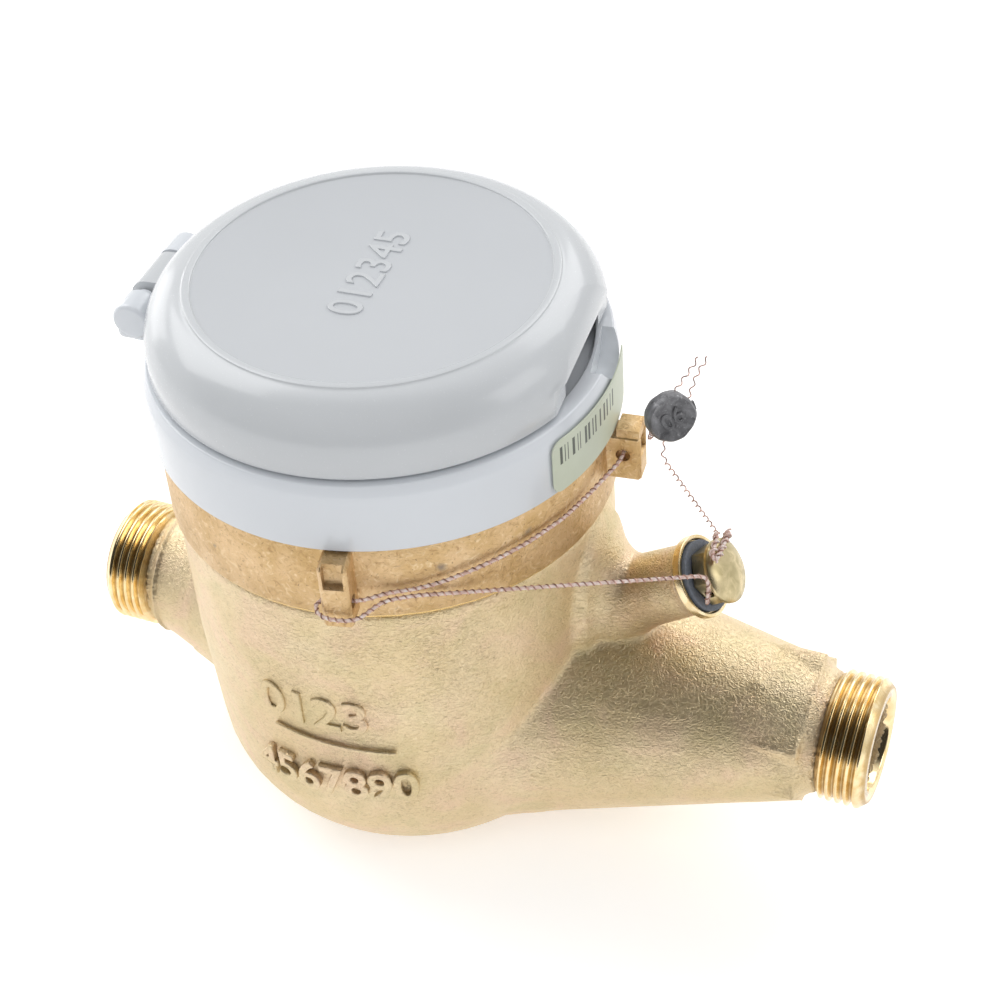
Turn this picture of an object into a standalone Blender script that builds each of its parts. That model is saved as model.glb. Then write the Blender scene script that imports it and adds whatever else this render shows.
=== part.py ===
"""Multi-jet water meter with threaded pipe ends.

A sand-cast brass body carries the measuring chamber. A brass head ring clamps the
register, and a plastic hood with a hinged lid covers its glass. Lengths are metres,
+Z is up, and the origin is the centre of the body's flat base. Water runs along +X.
"""

import math

import bmesh
import bpy
from mathutils import Matrix, Vector

MM = 0.001
GAP = 0.3 * MM
MERGE = 0.00002
SHARP_ANGLE = math.radians(35.0)
OPEN_CUT = 1.0 * MM

# Pipe ends
PIPE_Z = 33.0 * MM
INLET_REACH = 68.3 * MM
OUTLET_REACH = 100.7 * MM
THREAD_RADIUS = 13.2 * MM
THREAD_LENGTH = 9.8 * MM
THREAD_CHAMFER = 1.5 * MM
GROOVE_DEPTH = 1.1 * MM
GROOVE_LENGTH = 1.2 * MM
BORE_RADIUS = 9.5 * MM
NECK_RADIUS = 12.6 * MM
FLATS_SIDES = 8
FLATS_CORNER_RADIUS = 15.6 * MM
FLATS_LENGTH = 13.0 * MM
FLATS_TURN = math.radians(20.0)
FLATS_STEP = 1.2 * MM
INLET_SHOULDER_RADIUS = 13.4 * MM
OUTLET_SHOULDER_RADIUS = 14.2 * MM
SHOULDER_LENGTH = 2.6 * MM
INLET_TAPER = 0.37
INLET_ROOT_DEPTH = 11.3 * MM
OUTLET_TAPER = 0.245
OUTLET_DROP = 0.09
OUTLET_SHOULDER_DROP = 0.7 * MM
ROOT_FLARE = 2.6 * MM
ROOT_FLARE_RUN = 11.0 * MM

# Cast bowl
BOWL_RADIUS = 43.3 * MM
BOWL_DRAFT = 1.3 * MM
BOWL_STRAIGHT_Z = 48.0 * MM
BOWL_CORNER_Z = 24.0 * MM
BOWL_CORNER_RADIUS = 24.7 * MM
BOWL_WALL = 4.5 * MM
BOWL_TOP_Z = 77.5 * MM
COLLAR_STEP = 2.1 * MM
COLLAR_WALL = 1.6 * MM
COLLAR_HEIGHT = 8.5 * MM
BASE_SKIN = 0.8 * MM

# Chambers inside the body
PARTITION_Z = 34.5 * MM
PARTITION_THICKNESS = 3.0 * MM
PARTITION_LEDGE = 4.5 * MM
OUTLET_MOUTH_RISE = 10.0 * MM
SEAT_DROP = 11.5 * MM
SEAT_LEDGE = 2.8 * MM

# Regulating boss
BOSS_TILT = math.radians(32.0)
BOSS_STAND = 21.1 * MM
BOSS_DROP = 10.3 * MM
BOSS_RADIUS = 7.0 * MM
BOSS_ROOT_RADIUS = 9.0 * MM
BOSS_LENGTH = 38.0 * MM
BOSS_ROOT_STATIONS = (
    (8.7, -11.1, 7.2), (6.3, -11.1, 7.6), (4.3, -9.5, 8.2), (2.7, -6.9, 9.2),
    (1.5, -3.5, 10.4), (0.6, -0.5, 12.0), (-4.3, -0.5, 12.5))
FLANGE_RADIUS = 8.1 * MM
FLANGE_THICKNESS = 1.7 * MM
BOSS_BORE_RADIUS = 5.0 * MM
BOSS_BORE_DEPTH = 24.0 * MM
WASHER_RECESS = 1.0 * MM
BYPASS_RADIUS = 2.2 * MM

# Regulating screw, plug and washer
SCREW_LENGTH = 11.0 * MM
SCREW_TIP_LENGTH = 2.0 * MM
SLOT_WIDTH = 1.4 * MM
SLOT_DEPTH = 1.6 * MM
WASHER_RADIUS = 7.0 * MM
WASHER_THICKNESS = 1.4 * MM
PLUG_SHANK_RADIUS = 4.6 * MM
PLUG_SHANK_LENGTH = 9.0 * MM
PLUG_HEX_FLATS = 10.4 * MM
PLUG_HEX_LENGTH = 3.3 * MM
PLUG_CAP_RADIUS = 6.3 * MM
PLUG_CAP_THICKNESS = 1.1 * MM
PLUG_DOME_HEIGHT = 1.2 * MM
PLUG_HOLE_RADIUS = 0.95 * MM
PLUG_HOLE_ANGLE = math.radians(12.0)
PLUG_HOLE_SHARE = 0.44

# Head ring
RING_OVERHANG = 0.9 * MM
RING_HEIGHT = 16.9 * MM
RING_NECK_STEP = 2.0 * MM
RING_NECK_HEIGHT = 4.2 * MM
RING_NECK_WALL = 3.3 * MM
RING_SHOULDER_HEIGHT = 3.6 * MM
LUG_WIDTH = 5.5 * MM
LUG_HOLE_RADIUS = 1.4 * MM
LUG_HOLE_REACH = 3.0 * MM
LUG_RECESS_HEIGHT = 5.1 * MM
LUG_RECESS_DEPTH = 1.6 * MM
LUG_RECESS_RIM = 0.85 * MM
LUG_TOP_DROP = 0.2 * MM
LUG_CHAMFER = 0.6 * MM
LUG_CREST_RISE = 1.2 * MM
LUG_CREST_GAP = 0.9 * MM
LUG_CREST_INSET = 0.25 * MM
LUG_REACHES = (5.2 * MM, 6.4 * MM)
LUG_HEIGHTS = (14.5 * MM, 10.7 * MM)
LUG_AZIMUTHS = (math.radians(-76.5), math.radians(7.0))
CRESTED_LUG = 1
LUG_HOLE_DROPS = (9.4 * MM, 4.7 * MM)

# Strainer, measuring chamber and impeller
BASKET_WALL = 1.1 * MM
BASKET_FLANGE = 1.2 * MM
BASKET_BOTTOM_Z = 12.5 * MM
BASKET_SLOTS = 12
BASKET_SLOT_WIDTH = 3.0 * MM
CHAMBER_WALL = 2.0 * MM
CHAMBER_FLANGE = 1.5 * MM
FLANGE_OVERHANG = 2.2 * MM
CHAMBER_BOTTOM_Z = 16.0 * MM
CHAMBER_COVER_THICKNESS = 1.6 * MM
JET_COUNT = 6
JET_WIDTH = 4.0 * MM
JET_HEIGHT = 6.0 * MM
JET_OFFSET = 15.0 * MM
INLET_JET_RISE = 5.0 * MM
OUTLET_JET_RISE = 7.0 * MM
IMPELLER_BLADES = 8
IMPELLER_RADIUS = 24.5 * MM
BLADE_THICKNESS = 1.0 * MM
BLADE_HEIGHT = 15.0 * MM
BLADE_BOTTOM_Z = 21.0 * MM
HUB_RADIUS = 4.0 * MM
PIVOT_RADIUS = 0.9 * MM
PIVOT_LENGTH = 13.0 * MM
MAGNET_RADIUS = 8.0 * MM
MAGNET_HEIGHT = 4.5 * MM

# Pressure cup, seal ring and slip ring
PRESSURE_CUP_FLOOR = 3.2 * MM
PRESSURE_CUP_RISE = 1.8 * MM
PRESSURE_CUP_WALL = 2.4 * MM
SEAL_RING_SECTION = 1.3 * MM
SLIP_RING_THICKNESS = 1.2 * MM

# Register can
CAN_WALL = 2.0 * MM
CAN_FLOOR = 1.2 * MM
CAN_FLANGE = 2.4 * MM
CAN_RISE = 11.5 * MM
GLASS_THICKNESS = 3.2 * MM
GLASS_LEDGE = 1.1 * MM
DIAL_DEPTH = 4.8 * MM
DIAL_THICKNESS = 1.0 * MM
FRAME_PLATE = 1.5 * MM
PILLAR_RADIUS = 2.2 * MM
PILLAR_SETBACK = 4.1 * MM

# Number drums
DRUM_COUNT = 5
DRUM_RADIUS = 5.2 * MM
DRUM_WIDTH = 4.3 * MM
DRUM_AXLE_RADIUS = 0.9 * MM
DRUM_ROW_X = -12.5 * MM
BRACKET_THICKNESS = 1.6 * MM
DIAL_WINDOW_WIDTH = 6.2 * MM

# Pointers, star wheel and their gears
POINTER_COUNT = 4
POINTER_CIRCLE = 21.0 * MM
POINTER_SPREAD = math.radians(38.0)
POINTER_LENGTH = 4.6 * MM
POINTER_HUB_RADIUS = 1.4 * MM
POINTER_THICKNESS = 0.8 * MM
ARBOR_RADIUS = 0.6 * MM
GEAR_RADIUS = 5.4 * MM
GEAR_THICKNESS = 1.3 * MM
GEAR_TEETH = 14
TOOTH_DEPTH = 0.9 * MM
GEAR_LIFT = 7.0 * MM
STAR_X = 8.0 * MM
STAR_RADIUS = 4.2 * MM
STAR_POINTS = 10
DRIVEN_MAGNET_RADIUS = 5.0 * MM
DRIVEN_MAGNET_HEIGHT = 3.6 * MM
PINION_RADIUS = 1.6 * MM
PINION_HEIGHT = 5.2 * MM

# Hood and lid
HOOD_TURN = math.radians(3.0)
HOOD_OVERHANG = 0.9 * MM
HOOD_HEIGHT = 14.3 * MM
HOOD_EDGE_STEP = 1.0 * MM
HOOD_EDGE_HEIGHT = 3.6 * MM
HOOD_LIP_COVER = 1.8 * MM
HOOD_LIP_THICKNESS = 1.2 * MM
HOOD_DISH_DEPTH = 1.6 * MM
LID_SETBACK = 0.7 * MM
LID_WALL = 2.2 * MM
LID_SEAT_GAP = 0.8 * MM
LID_LIP_HEIGHT = 4.0 * MM
LID_SHOULDER_RADIUS = 9.7 * MM
LID_INNER_SWEEP = 78.0
LID_BEAD_SETBACK = 8.3 * MM
LID_BEAD_WIDTH = 1.7 * MM
LID_BEAD_RISE = 0.25 * MM
LID_BEAD_SLOPE = 0.2 * MM
LID_DISC_INSET = 0.45 * MM
NOTCH_DEPTH = 2.5 * MM
NOTCH_UNDERCUT = 1.2 * MM
NOTCH_RIM_HEIGHT = 5.4 * MM
NOTCH_FACE_RADIUS = 8.15 * MM
NOTCH_FACE_RISE = 1.0 * MM
NOTCH_TURN = math.radians(2.5)
PAD_THICKNESS = 2.5 * MM
PAD_HALF_WIDTH = 15.0 * MM
PAD_HEIGHT = 5.0 * MM
PAD_SKIN = 0.4 * MM
DIP_RADIUS = 8.0 * MM
DIP_DEPTH = 4.6 * MM
DIP_TURN = math.radians(9.0)

# Hinge
HINGE_REACH = 1.2 * MM
HINGE_RISE = 1.5 * MM
KNUCKLE_RADIUS = 3.8 * MM
KNUCKLE_GAP = 0.8 * MM
FRONT_KNUCKLE = (-11.8 * MM, -6.0 * MM)
LID_KNUCKLE = (-3.2 * MM, 7.3 * MM)
BACK_KNUCKLE = (LID_KNUCKLE[1] + KNUCKLE_GAP, 15.0 * MM)
STUB_RADIUS = 2.7 * MM
PIN_SETBACK = 1.0 * MM
HINGE_PIN_RADIUS = 1.3 * MM
HINGE_BLOCK_DROP = 4.4 * MM
HINGE_RELIEF = 0.5 * MM
BLOCK_INSET = 0.3 * MM
BLOCK_REACH = 1.6 * MM
ROOT_REACH = 4.1 * MM
BLOCK_TOP_DROP = 0.6 * MM
BLOCK_ROUNDING = 1.2 * MM

# Label
LABEL_START = math.radians(-23.0)
LABEL_END = math.radians(20.0)
LABEL_HEIGHT = 11.6 * MM
LABEL_CORNER = 2.2 * MM
LABEL_THICKNESS = 0.25 * MM
LABEL_MARGIN = 0.5 * MM

# Sealing wire and seal
WIRE_RADIUS = 0.5 * MM
WIRE_STEP = 3.0 * MM
WIRE_FACE_GAP = 0.6 * MM
WRAP_RADIUS = 8.2 * MM
BUNDLE_ROUTE = (
    (6.1, 4.3, 6.2), (2.8, 4.9, 7.0), (-0.2, 5.0, 7.1), (-3.6, 4.4, 7.0), (-4.3, 5.2, 6.8), (-3.5, 6.2, 6.6),
    (0.1, 6.3, 6.6), (2.4, 7.1, 6.3))
FACE_ROUTE = ((-9.0, 88.6), (-20.0, 88.5), (-31.0, 88.2), (-39.0, 87.7), (-47.0, 86.9), (-54.0, 86.0),
              (-60.0, 85.5), (-66.0, 85.3))
LOWER_ROUTE = ((-67.0, 83.4), (-60.0, 84.0))
SEAL_RADIUS = 4.3 * MM
SEAL_THICKNESS = 3.6 * MM
SEAL_CENTRE = Vector((59.6, -5.1, 108.7)) * MM
SEAL_NORMAL = Vector((0.263, -0.737, 0.623)).normalized()
SEAL_TURN = math.radians(28.5)
SEAL_HOLE_RADIUS = 0.85 * MM
SEAL_HOLE_OFFSET = 1.3 * MM
TAIL_LENGTH = 8.2 * MM
TAIL_CLEARANCE = 0.75 * MM

# Values that follow from the sizes above
BOWL_LOW_RADIUS = BOWL_RADIUS - BOWL_DRAFT
COLLAR_RADIUS = BOWL_RADIUS - COLLAR_STEP
SEAT_RADIUS = COLLAR_RADIUS - COLLAR_WALL
SEAT_Z = BOWL_TOP_Z - SEAT_DROP
UPPER_CHAMBER_RADIUS = SEAT_RADIUS - SEAT_LEDGE
PARTITION_RADIUS = UPPER_CHAMBER_RADIUS - PARTITION_LEDGE
BOSS_FACE_X = BOWL_RADIUS + BOSS_STAND
BOSS_FACE_Z = BOWL_TOP_Z - BOSS_DROP
BOSS_AXIS = Vector((math.cos(BOSS_TILT), 0.0, math.sin(BOSS_TILT)))
BOSS_FACE = Vector((BOSS_FACE_X, 0.0, BOSS_FACE_Z))
RIM_Z = BOWL_TOP_Z + COLLAR_HEIGHT
RING_RADIUS = BOWL_RADIUS + RING_OVERHANG
RING_BOTTOM_Z = BOWL_TOP_Z + GAP
RING_TOP_Z = RING_BOTTOM_Z + RING_HEIGHT
LUG_HOLE_LEVELS = tuple(RING_TOP_Z - drop for drop in LUG_HOLE_DROPS)
PRESSURE_CUP_TOP_Z = BOWL_TOP_Z + PRESSURE_CUP_RISE
CAN_FLANGE_Z = PRESSURE_CUP_TOP_Z + 2 * GAP + 2 * SEAL_RING_SECTION
SLIP_RING_Z = CAN_FLANGE_Z + CAN_FLANGE + GAP
RING_SHOULDER_Z = SLIP_RING_Z + SLIP_RING_THICKNESS + GAP
PRESSURE_CUP_Z = SEAT_Z + GAP
PRESSURE_CUP_RADIUS = SEAT_RADIUS - GAP
CAN_RADIUS = PRESSURE_CUP_RADIUS - PRESSURE_CUP_WALL - GAP
CAN_TOP_Z = RING_TOP_Z + CAN_RISE
CAN_BOTTOM_Z = PRESSURE_CUP_Z + PRESSURE_CUP_FLOOR + GAP
CAN_FLOOR_Z = CAN_BOTTOM_Z + CAN_FLOOR
CAN_INNER_RADIUS = CAN_RADIUS - CAN_WALL
PILLAR_CIRCLE = CAN_INNER_RADIUS - PILLAR_SETBACK
GLASS_TOP_Z = CAN_TOP_Z - 0.2 * MM
GLASS_BOTTOM_Z = GLASS_TOP_Z - GLASS_THICKNESS
DIAL_TOP_Z = GLASS_BOTTOM_Z - DIAL_DEPTH
DIAL_BOTTOM_Z = DIAL_TOP_Z - DIAL_THICKNESS
DIAL_RADIUS = CAN_INNER_RADIUS - GAP
FRAME_Z = CAN_FLOOR_Z + GAP
FRAME_TOP_Z = FRAME_Z + FRAME_PLATE
DRUM_AXIS_Z = DIAL_BOTTOM_Z - GAP - DRUM_RADIUS
DRUM_PITCH = DRUM_WIDTH + GAP
BRACKET_Y = DRUM_COUNT * DRUM_PITCH / 2 + GAP + BRACKET_THICKNESS / 2
BASKET_RADIUS = PARTITION_RADIUS - GAP
FLANGE_EDGE_RADIUS = PARTITION_RADIUS + FLANGE_OVERHANG
BASKET_FLANGE_Z = PARTITION_Z + PARTITION_THICKNESS + GAP
CHAMBER_FLANGE_Z = BASKET_FLANGE_Z + BASKET_FLANGE + GAP
CHAMBER_RADIUS = BASKET_RADIUS - BASKET_WALL - 1.4 * MM
COVER_Z = PRESSURE_CUP_Z - GAP - CHAMBER_COVER_THICKNESS
CHAMBER_TOP_Z = COVER_Z - GAP
HUB_TOP_Z = CHAMBER_TOP_Z - 0.8 * MM
PIVOT_Z = CHAMBER_BOTTOM_Z + CHAMBER_WALL
HOOD_RADIUS = RING_RADIUS + HOOD_OVERHANG
HOOD_TOP_RADIUS = HOOD_RADIUS - HOOD_EDGE_STEP
HOOD_BOTTOM_Z = RING_TOP_Z + GAP
HOOD_TOP_Z = HOOD_BOTTOM_Z + HOOD_HEIGHT
LID_RADIUS = HOOD_TOP_RADIUS - LID_SETBACK
LID_BOTTOM_Z = HOOD_TOP_Z + LID_SEAT_GAP
LID_BEAD_RADIUS = LID_RADIUS - LID_BEAD_SETBACK
LID_DISC_RADIUS = LID_BEAD_RADIUS - LID_BEAD_WIDTH
HOOD_LEDGE_RADIUS = LID_RADIUS - LID_WALL - 2 * GAP
HOOD_LIP_RADIUS = CAN_RADIUS - HOOD_LIP_COVER
HINGE_OUT = HOOD_RADIUS + HINGE_REACH
HINGE_Z = LID_BOTTOM_Z + HINGE_RISE
LID_TOP_Z = LID_BOTTOM_Z + LID_LIP_HEIGHT + LID_SHOULDER_RADIUS + LID_BEAD_RISE
SEAL_LEVEL = Vector((0.0, 0.0, 1.0)).cross(SEAL_NORMAL).normalized()
SEAL_SIDE = Matrix.Rotation(-SEAL_TURN, 3, SEAL_NORMAL) @ SEAL_LEVEL
SEAL_UP = SEAL_NORMAL.cross(SEAL_SIDE)
LUG_HOLE_RADIUS_OUT = RING_RADIUS + LUG_HOLE_REACH
RING_NECK_RADIUS = RING_RADIUS - RING_NECK_STEP
RING_INNER_RADIUS = RING_NECK_RADIUS - RING_NECK_WALL
RING_SHOULDER_RADIUS = CAN_RADIUS + 3 * GAP


# Collections, materials and small helpers

def fresh_scene():
    for obj in list(bpy.data.objects):
        bpy.data.objects.remove(obj)
    for collection in list(bpy.data.collections):
        bpy.data.collections.remove(collection)


def new_collection(name):
    collection = bpy.data.collections.new(name)
    bpy.context.scene.collection.children.link(collection)
    return collection


def make_material(name, colour, roughness, metallic):
    material = bpy.data.materials.new(name)
    material.use_nodes = True
    shader = material.node_tree.nodes["Principled BSDF"]
    shader.inputs["Base Color"].default_value = (*colour, 1.0)
    shader.inputs["Roughness"].default_value = roughness
    shader.inputs["Metallic"].default_value = metallic
    material.diffuse_color = (*colour, 1.0)
    return material


def object_from_bmesh(name, bm, collection, material=None):
    bmesh.ops.recalc_face_normals(bm, faces=bm.faces)
    mesh = bpy.data.meshes.new(name)
    bm.to_mesh(mesh)
    bm.free()
    obj = bpy.data.objects.new(name, mesh)
    collection.objects.link(obj)
    if material:
        mesh.materials.append(material)
    return obj


def hide_cutter(obj):
    obj.hide_render = True
    obj.display_type = "WIRE"
    return obj


def smooth(obj):
    """Shade a round piece smooth between its sharp edges."""
    obj.data.shade_smooth()
    obj.data.set_sharp_from_angle(angle=SHARP_ANGLE)
    return obj


def lathe(name, profile, collection, material=None, steps=48, closed=False):
    """Turn (radius, z) points about Z. The points run down the outer side, top to bottom."""
    mesh = bpy.data.meshes.new(name)
    points = [(radius, 0.0, z) for radius, z in profile]
    edges = [(i, i + 1) for i in range(len(points) - 1)]
    if closed:
        edges.append((len(points) - 1, 0))
    mesh.from_pydata(points, edges, [])
    obj = bpy.data.objects.new(name, mesh)
    collection.objects.link(obj)
    if material:
        mesh.materials.append(material)
    turn = obj.modifiers.new("turn", "SCREW")
    turn.steps = steps
    turn.render_steps = steps
    turn.angle = 2 * math.pi
    turn.use_merge_vertices = True
    turn.merge_threshold = MERGE
    turn.use_smooth_shade = True
    return obj


def ring(name, outer, inner, bottom, top, collection, material=None, steps=40):
    profile = [(outer, top), (outer, bottom), (inner, bottom), (inner, top)]
    return lathe(name, profile, collection, material, steps, closed=True)


def disc(name, radius, bottom, top, collection, material=None, steps=36):
    profile = [(0.0, top), (radius, top), (radius, bottom), (0.0, bottom)]
    return lathe(name, profile, collection, material, steps)


def rod(name, radius, start, end, collection, material=None, steps=24):
    """A cylinder between two points."""
    start = Vector(start)
    end = Vector(end)
    bm = bmesh.new()
    length = (end - start).length
    bmesh.ops.create_cone(bm, cap_ends=True, segments=steps, radius1=radius, radius2=radius, depth=length)
    turn = (end - start).to_track_quat("Z", "Y").to_matrix().to_4x4()
    bmesh.ops.transform(bm, matrix=Matrix.Translation((start + end) / 2) @ turn, verts=bm.verts)
    return smooth(object_from_bmesh(name, bm, collection, material))


def box(name, low, high, collection, material=None):
    bm = bmesh.new()
    bmesh.ops.create_cube(bm, size=1.0)
    low = Vector(low)
    high = Vector(high)
    size = high - low
    bmesh.ops.scale(bm, vec=size, verts=bm.verts)
    bmesh.ops.translate(bm, vec=(low + high) / 2, verts=bm.verts)
    return object_from_bmesh(name, bm, collection, material)


def combine(obj, other, operation, solver="EXACT"):
    """Cut or join another solid into obj, which keeps it as a modifier."""
    step = obj.modifiers.new(operation.lower() + "_" + other.name, "BOOLEAN")
    step.operation = operation
    step.solver = solver
    step.object = other
    hide_cutter(other)
    return obj


def cut(obj, *others, solver="EXACT"):
    for other in others:
        combine(obj, other, "DIFFERENCE", solver)
    return obj


def join(obj, *others, solver="EXACT"):
    for other in others:
        combine(obj, other, "UNION", solver)
    return obj


def loft(name, sections, collection, material=None, steps=40):
    """Skin a row of oval sections, each (x, centre z, half width, rise, fall)."""
    bm = bmesh.new()
    rows = []
    for x, centre, half_width, rise, fall in sections:
        row = []
        for i in range(steps):
            angle = 2 * math.pi * i / steps
            reach = rise if math.sin(angle) >= 0 else fall
            row.append(bm.verts.new((x, half_width * math.cos(angle), centre + reach * math.sin(angle))))
        rows.append(row)
    for row, after in zip(rows, rows[1:]):
        for i in range(steps):
            j = (i + 1) % steps
            bm.faces.new((row[i], row[j], after[j], after[i]))
    bm.faces.new(rows[0])
    bm.faces.new(list(reversed(rows[-1])))
    bmesh.ops.triangulate(bm, faces=[face for face in bm.faces if len(face.verts) == 4])
    return smooth(object_from_bmesh(name, bm, collection, material))


def arc(centre_r, centre_z, radius, start, end, count):
    """Points on a round corner, with angles in degrees above the outward direction."""
    points = []
    for i in range(count + 1):
        angle = math.radians(start + (end - start) * i / count)
        points.append((centre_r + radius * math.cos(angle), centre_z + radius * math.sin(angle)))
    return points


def place(obj, parent):
    obj.parent = parent
    return obj


def pivot(name, location, parent=None, turn=0.0):
    empty = bpy.data.objects.new(name, None)
    PARTS.objects.link(empty)
    empty.location = location
    empty.rotation_euler = (0.0, 0.0, turn)
    empty.parent = parent
    return empty


# Body casting

def round_section(x, radius, drop=0.0):
    return (x, PIPE_Z - drop, radius, radius, radius)


def threaded_end(reach, sign):
    """Sections from the pipe's end face back to the neck behind the thread."""
    face = reach
    root = reach - THREAD_LENGTH
    groove = root - GROOVE_LENGTH
    edge = THREAD_RADIUS - THREAD_CHAMFER
    low = THREAD_RADIUS - GROOVE_DEPTH
    steps = [
        (face, edge),
        (face - THREAD_CHAMFER, THREAD_RADIUS),
        (root + GROOVE_DEPTH / 2, THREAD_RADIUS),
        (root, low),
        (groove, low),
        (groove - GROOVE_DEPTH / 2, NECK_RADIUS),
    ]
    return [round_section(sign * x, radius) for x, radius in steps]


def inlet_sections():
    sections = threaded_end(INLET_REACH, -1)
    shoulder = INLET_REACH - THREAD_LENGTH - GROOVE_LENGTH - SHOULDER_LENGTH / 2
    for run in (0.0, shoulder - BOWL_RADIUS + INLET_ROOT_DEPTH):
        radius = INLET_SHOULDER_RADIUS + INLET_TAPER * run
        sections.append(round_section(-(shoulder - run), radius))
    return sections


def outlet_sections():
    sections = threaded_end(OUTLET_REACH, 1)
    shoulder = OUTLET_REACH - THREAD_LENGTH - GROOVE_LENGTH - SHOULDER_LENGTH
    flare_start = BOWL_RADIUS - 2.3 * MM
    inner_end = flare_start - ROOT_FLARE_RUN
    stations = [shoulder, flare_start]
    stations += [flare_start - i * ROOT_FLARE_RUN / 4 for i in range(1, 5)]
    for x in stations:
        run = shoulder - x
        radius = OUTLET_SHOULDER_RADIUS + OUTLET_TAPER * run
        drop = OUTLET_SHOULDER_DROP + OUTLET_DROP * run
        flare = ROOT_FLARE * (max(0.0, flare_start - x) / ROOT_FLARE_RUN) ** 2
        fall = min(radius, PIPE_Z - drop - BASE_SKIN)
        sections.append((x, PIPE_Z - drop, radius + flare, radius + flare, fall))
    x = inner_end - 8 * MM
    sections.append((x, PIPE_Z - drop, radius, radius, fall))
    return sections


def bowl_corner():
    return (BOWL_LOW_RADIUS - BOWL_CORNER_RADIUS, BOWL_CORNER_Z)


def bowl_profile():
    centre_r, centre_z = bowl_corner()
    last = -math.degrees(math.asin(BOWL_CORNER_Z / BOWL_CORNER_RADIUS))
    profile = [
        (0.0, RIM_Z),
        (COLLAR_RADIUS - 0.6 * MM, RIM_Z),
        (COLLAR_RADIUS, RIM_Z - 0.6 * MM),
        (COLLAR_RADIUS, BOWL_TOP_Z),
        (BOWL_RADIUS, BOWL_TOP_Z),
        (BOWL_RADIUS, BOWL_STRAIGHT_Z),
    ]
    profile += arc(centre_r, centre_z, BOWL_CORNER_RADIUS, 0.0, last, 8)
    profile.append((0.0, 0.0))
    return profile


def cavity_profile():
    centre_r, centre_z = bowl_corner()
    inner = BOWL_CORNER_RADIUS - BOWL_WALL
    partition_top = PARTITION_Z + PARTITION_THICKNESS
    last = -math.degrees(math.asin((BOWL_CORNER_Z - BOWL_WALL) / inner))
    profile = [
        (0.0, RIM_Z + 1 * MM),
        (SEAT_RADIUS, RIM_Z + 1 * MM),
        (SEAT_RADIUS, SEAT_Z),
        (UPPER_CHAMBER_RADIUS, SEAT_Z),
        (UPPER_CHAMBER_RADIUS, partition_top),
        (PARTITION_RADIUS, partition_top),
        (PARTITION_RADIUS, PARTITION_Z),
        (centre_r + inner, PARTITION_Z),
    ]
    profile += arc(centre_r, centre_z, inner, 0.0, last, 6)
    profile.append((0.0, BOWL_WALL))
    return profile


def spanner_flats(name, near, far):
    """An eight-sided form whose corners stand out of the cast cone."""
    bm = bmesh.new()
    radius = FLATS_CORNER_RADIUS
    bmesh.ops.create_cone(
        bm, cap_ends=True, segments=FLATS_SIDES, radius1=radius, radius2=radius, depth=far - near)
    turn = Matrix.Rotation(FLATS_TURN, 4, "X") @ Matrix.Rotation(math.pi / 2, 4, "Y")
    spot = Matrix.Translation(((near + far) / 2, 0.0, PIPE_Z))
    bmesh.ops.transform(bm, matrix=spot @ turn, verts=bm.verts)
    return object_from_bmesh(name, bm, CUTTERS)


def boss_matrix():
    turn = BOSS_AXIS.to_track_quat("Z", "Y").to_matrix().to_4x4()
    return Matrix.Translation(BOSS_FACE) @ turn


def boss_solid():
    profile = [
        (0.0, 0.0),
        (FLANGE_RADIUS - 0.4 * MM, 0.0),
        (FLANGE_RADIUS, -0.4 * MM),
        (FLANGE_RADIUS, -FLANGE_THICKNESS),
        (BOSS_RADIUS, -FLANGE_THICKNESS - 0.8 * MM),
        (BOSS_RADIUS + 0.3 * MM, -BOSS_LENGTH * 0.36),
        (BOSS_ROOT_RADIUS, -BOSS_LENGTH * 0.56),
        (BOSS_ROOT_RADIUS, -BOSS_LENGTH + 4 * MM),
        (0.0, -BOSS_LENGTH + 4 * MM),
    ]
    solid = lathe("boss_form", profile, CUTTERS, steps=28)
    solid.matrix_world = boss_matrix()
    return solid


def boss_root():
    """The cast fillet that sweeps from the top of the boss up the bowl's wall."""
    sections = []
    for out, above, half_width in BOSS_ROOT_STATIONS:
        x = BOWL_RADIUS + out * MM
        centre = BOSS_FACE_Z - (BOSS_FACE_X - x) * math.tan(BOSS_TILT)
        height = BOWL_TOP_Z + above * MM - centre
        sections.append((x, centre, half_width * MM, height, BOSS_ROOT_RADIUS))
    return loft("boss_root", sections, CUTTERS, steps=24)


def boss_bore():
    profile = [
        (0.0, OPEN_CUT),
        (WASHER_RADIUS + GAP, OPEN_CUT),
        (WASHER_RADIUS + GAP, -WASHER_RECESS),
        (BOSS_BORE_RADIUS, -WASHER_RECESS),
        (BOSS_BORE_RADIUS, -BOSS_BORE_DEPTH),
        (BYPASS_RADIUS, -BOSS_BORE_DEPTH - 1.5 * MM),
        (BYPASS_RADIUS, -BOSS_LENGTH),
        (0.0, -BOSS_LENGTH),
    ]
    bore = lathe("boss_bore", profile, CUTTERS, steps=24)
    bore.matrix_world = boss_matrix()
    return bore


def inlet_passage():
    """Straight bore at the thread, then down into the lower chamber."""
    bend = -(INLET_REACH - THREAD_LENGTH - 6 * MM)
    goal_z = (PARTITION_Z + BOWL_WALL) / 2
    inner = -(BOWL_LOW_RADIUS - BOWL_WALL - 6 * MM)
    squeeze = BORE_RADIUS - 1.5 * MM
    sections = [
        (-INLET_REACH - 2 * MM, PIPE_Z, BORE_RADIUS, BORE_RADIUS, BORE_RADIUS),
        (bend, PIPE_Z, BORE_RADIUS, BORE_RADIUS, BORE_RADIUS),
        (bend + 7 * MM, PIPE_Z - 2.5 * MM, BORE_RADIUS, squeeze, squeeze),
        (inner, goal_z, BORE_RADIUS + 1 * MM, squeeze, squeeze),
        (inner + 4 * MM, goal_z, BORE_RADIUS + 1 * MM, squeeze, squeeze),
    ]
    return loft("inlet_passage", sections, CUTTERS, steps=20)


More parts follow.
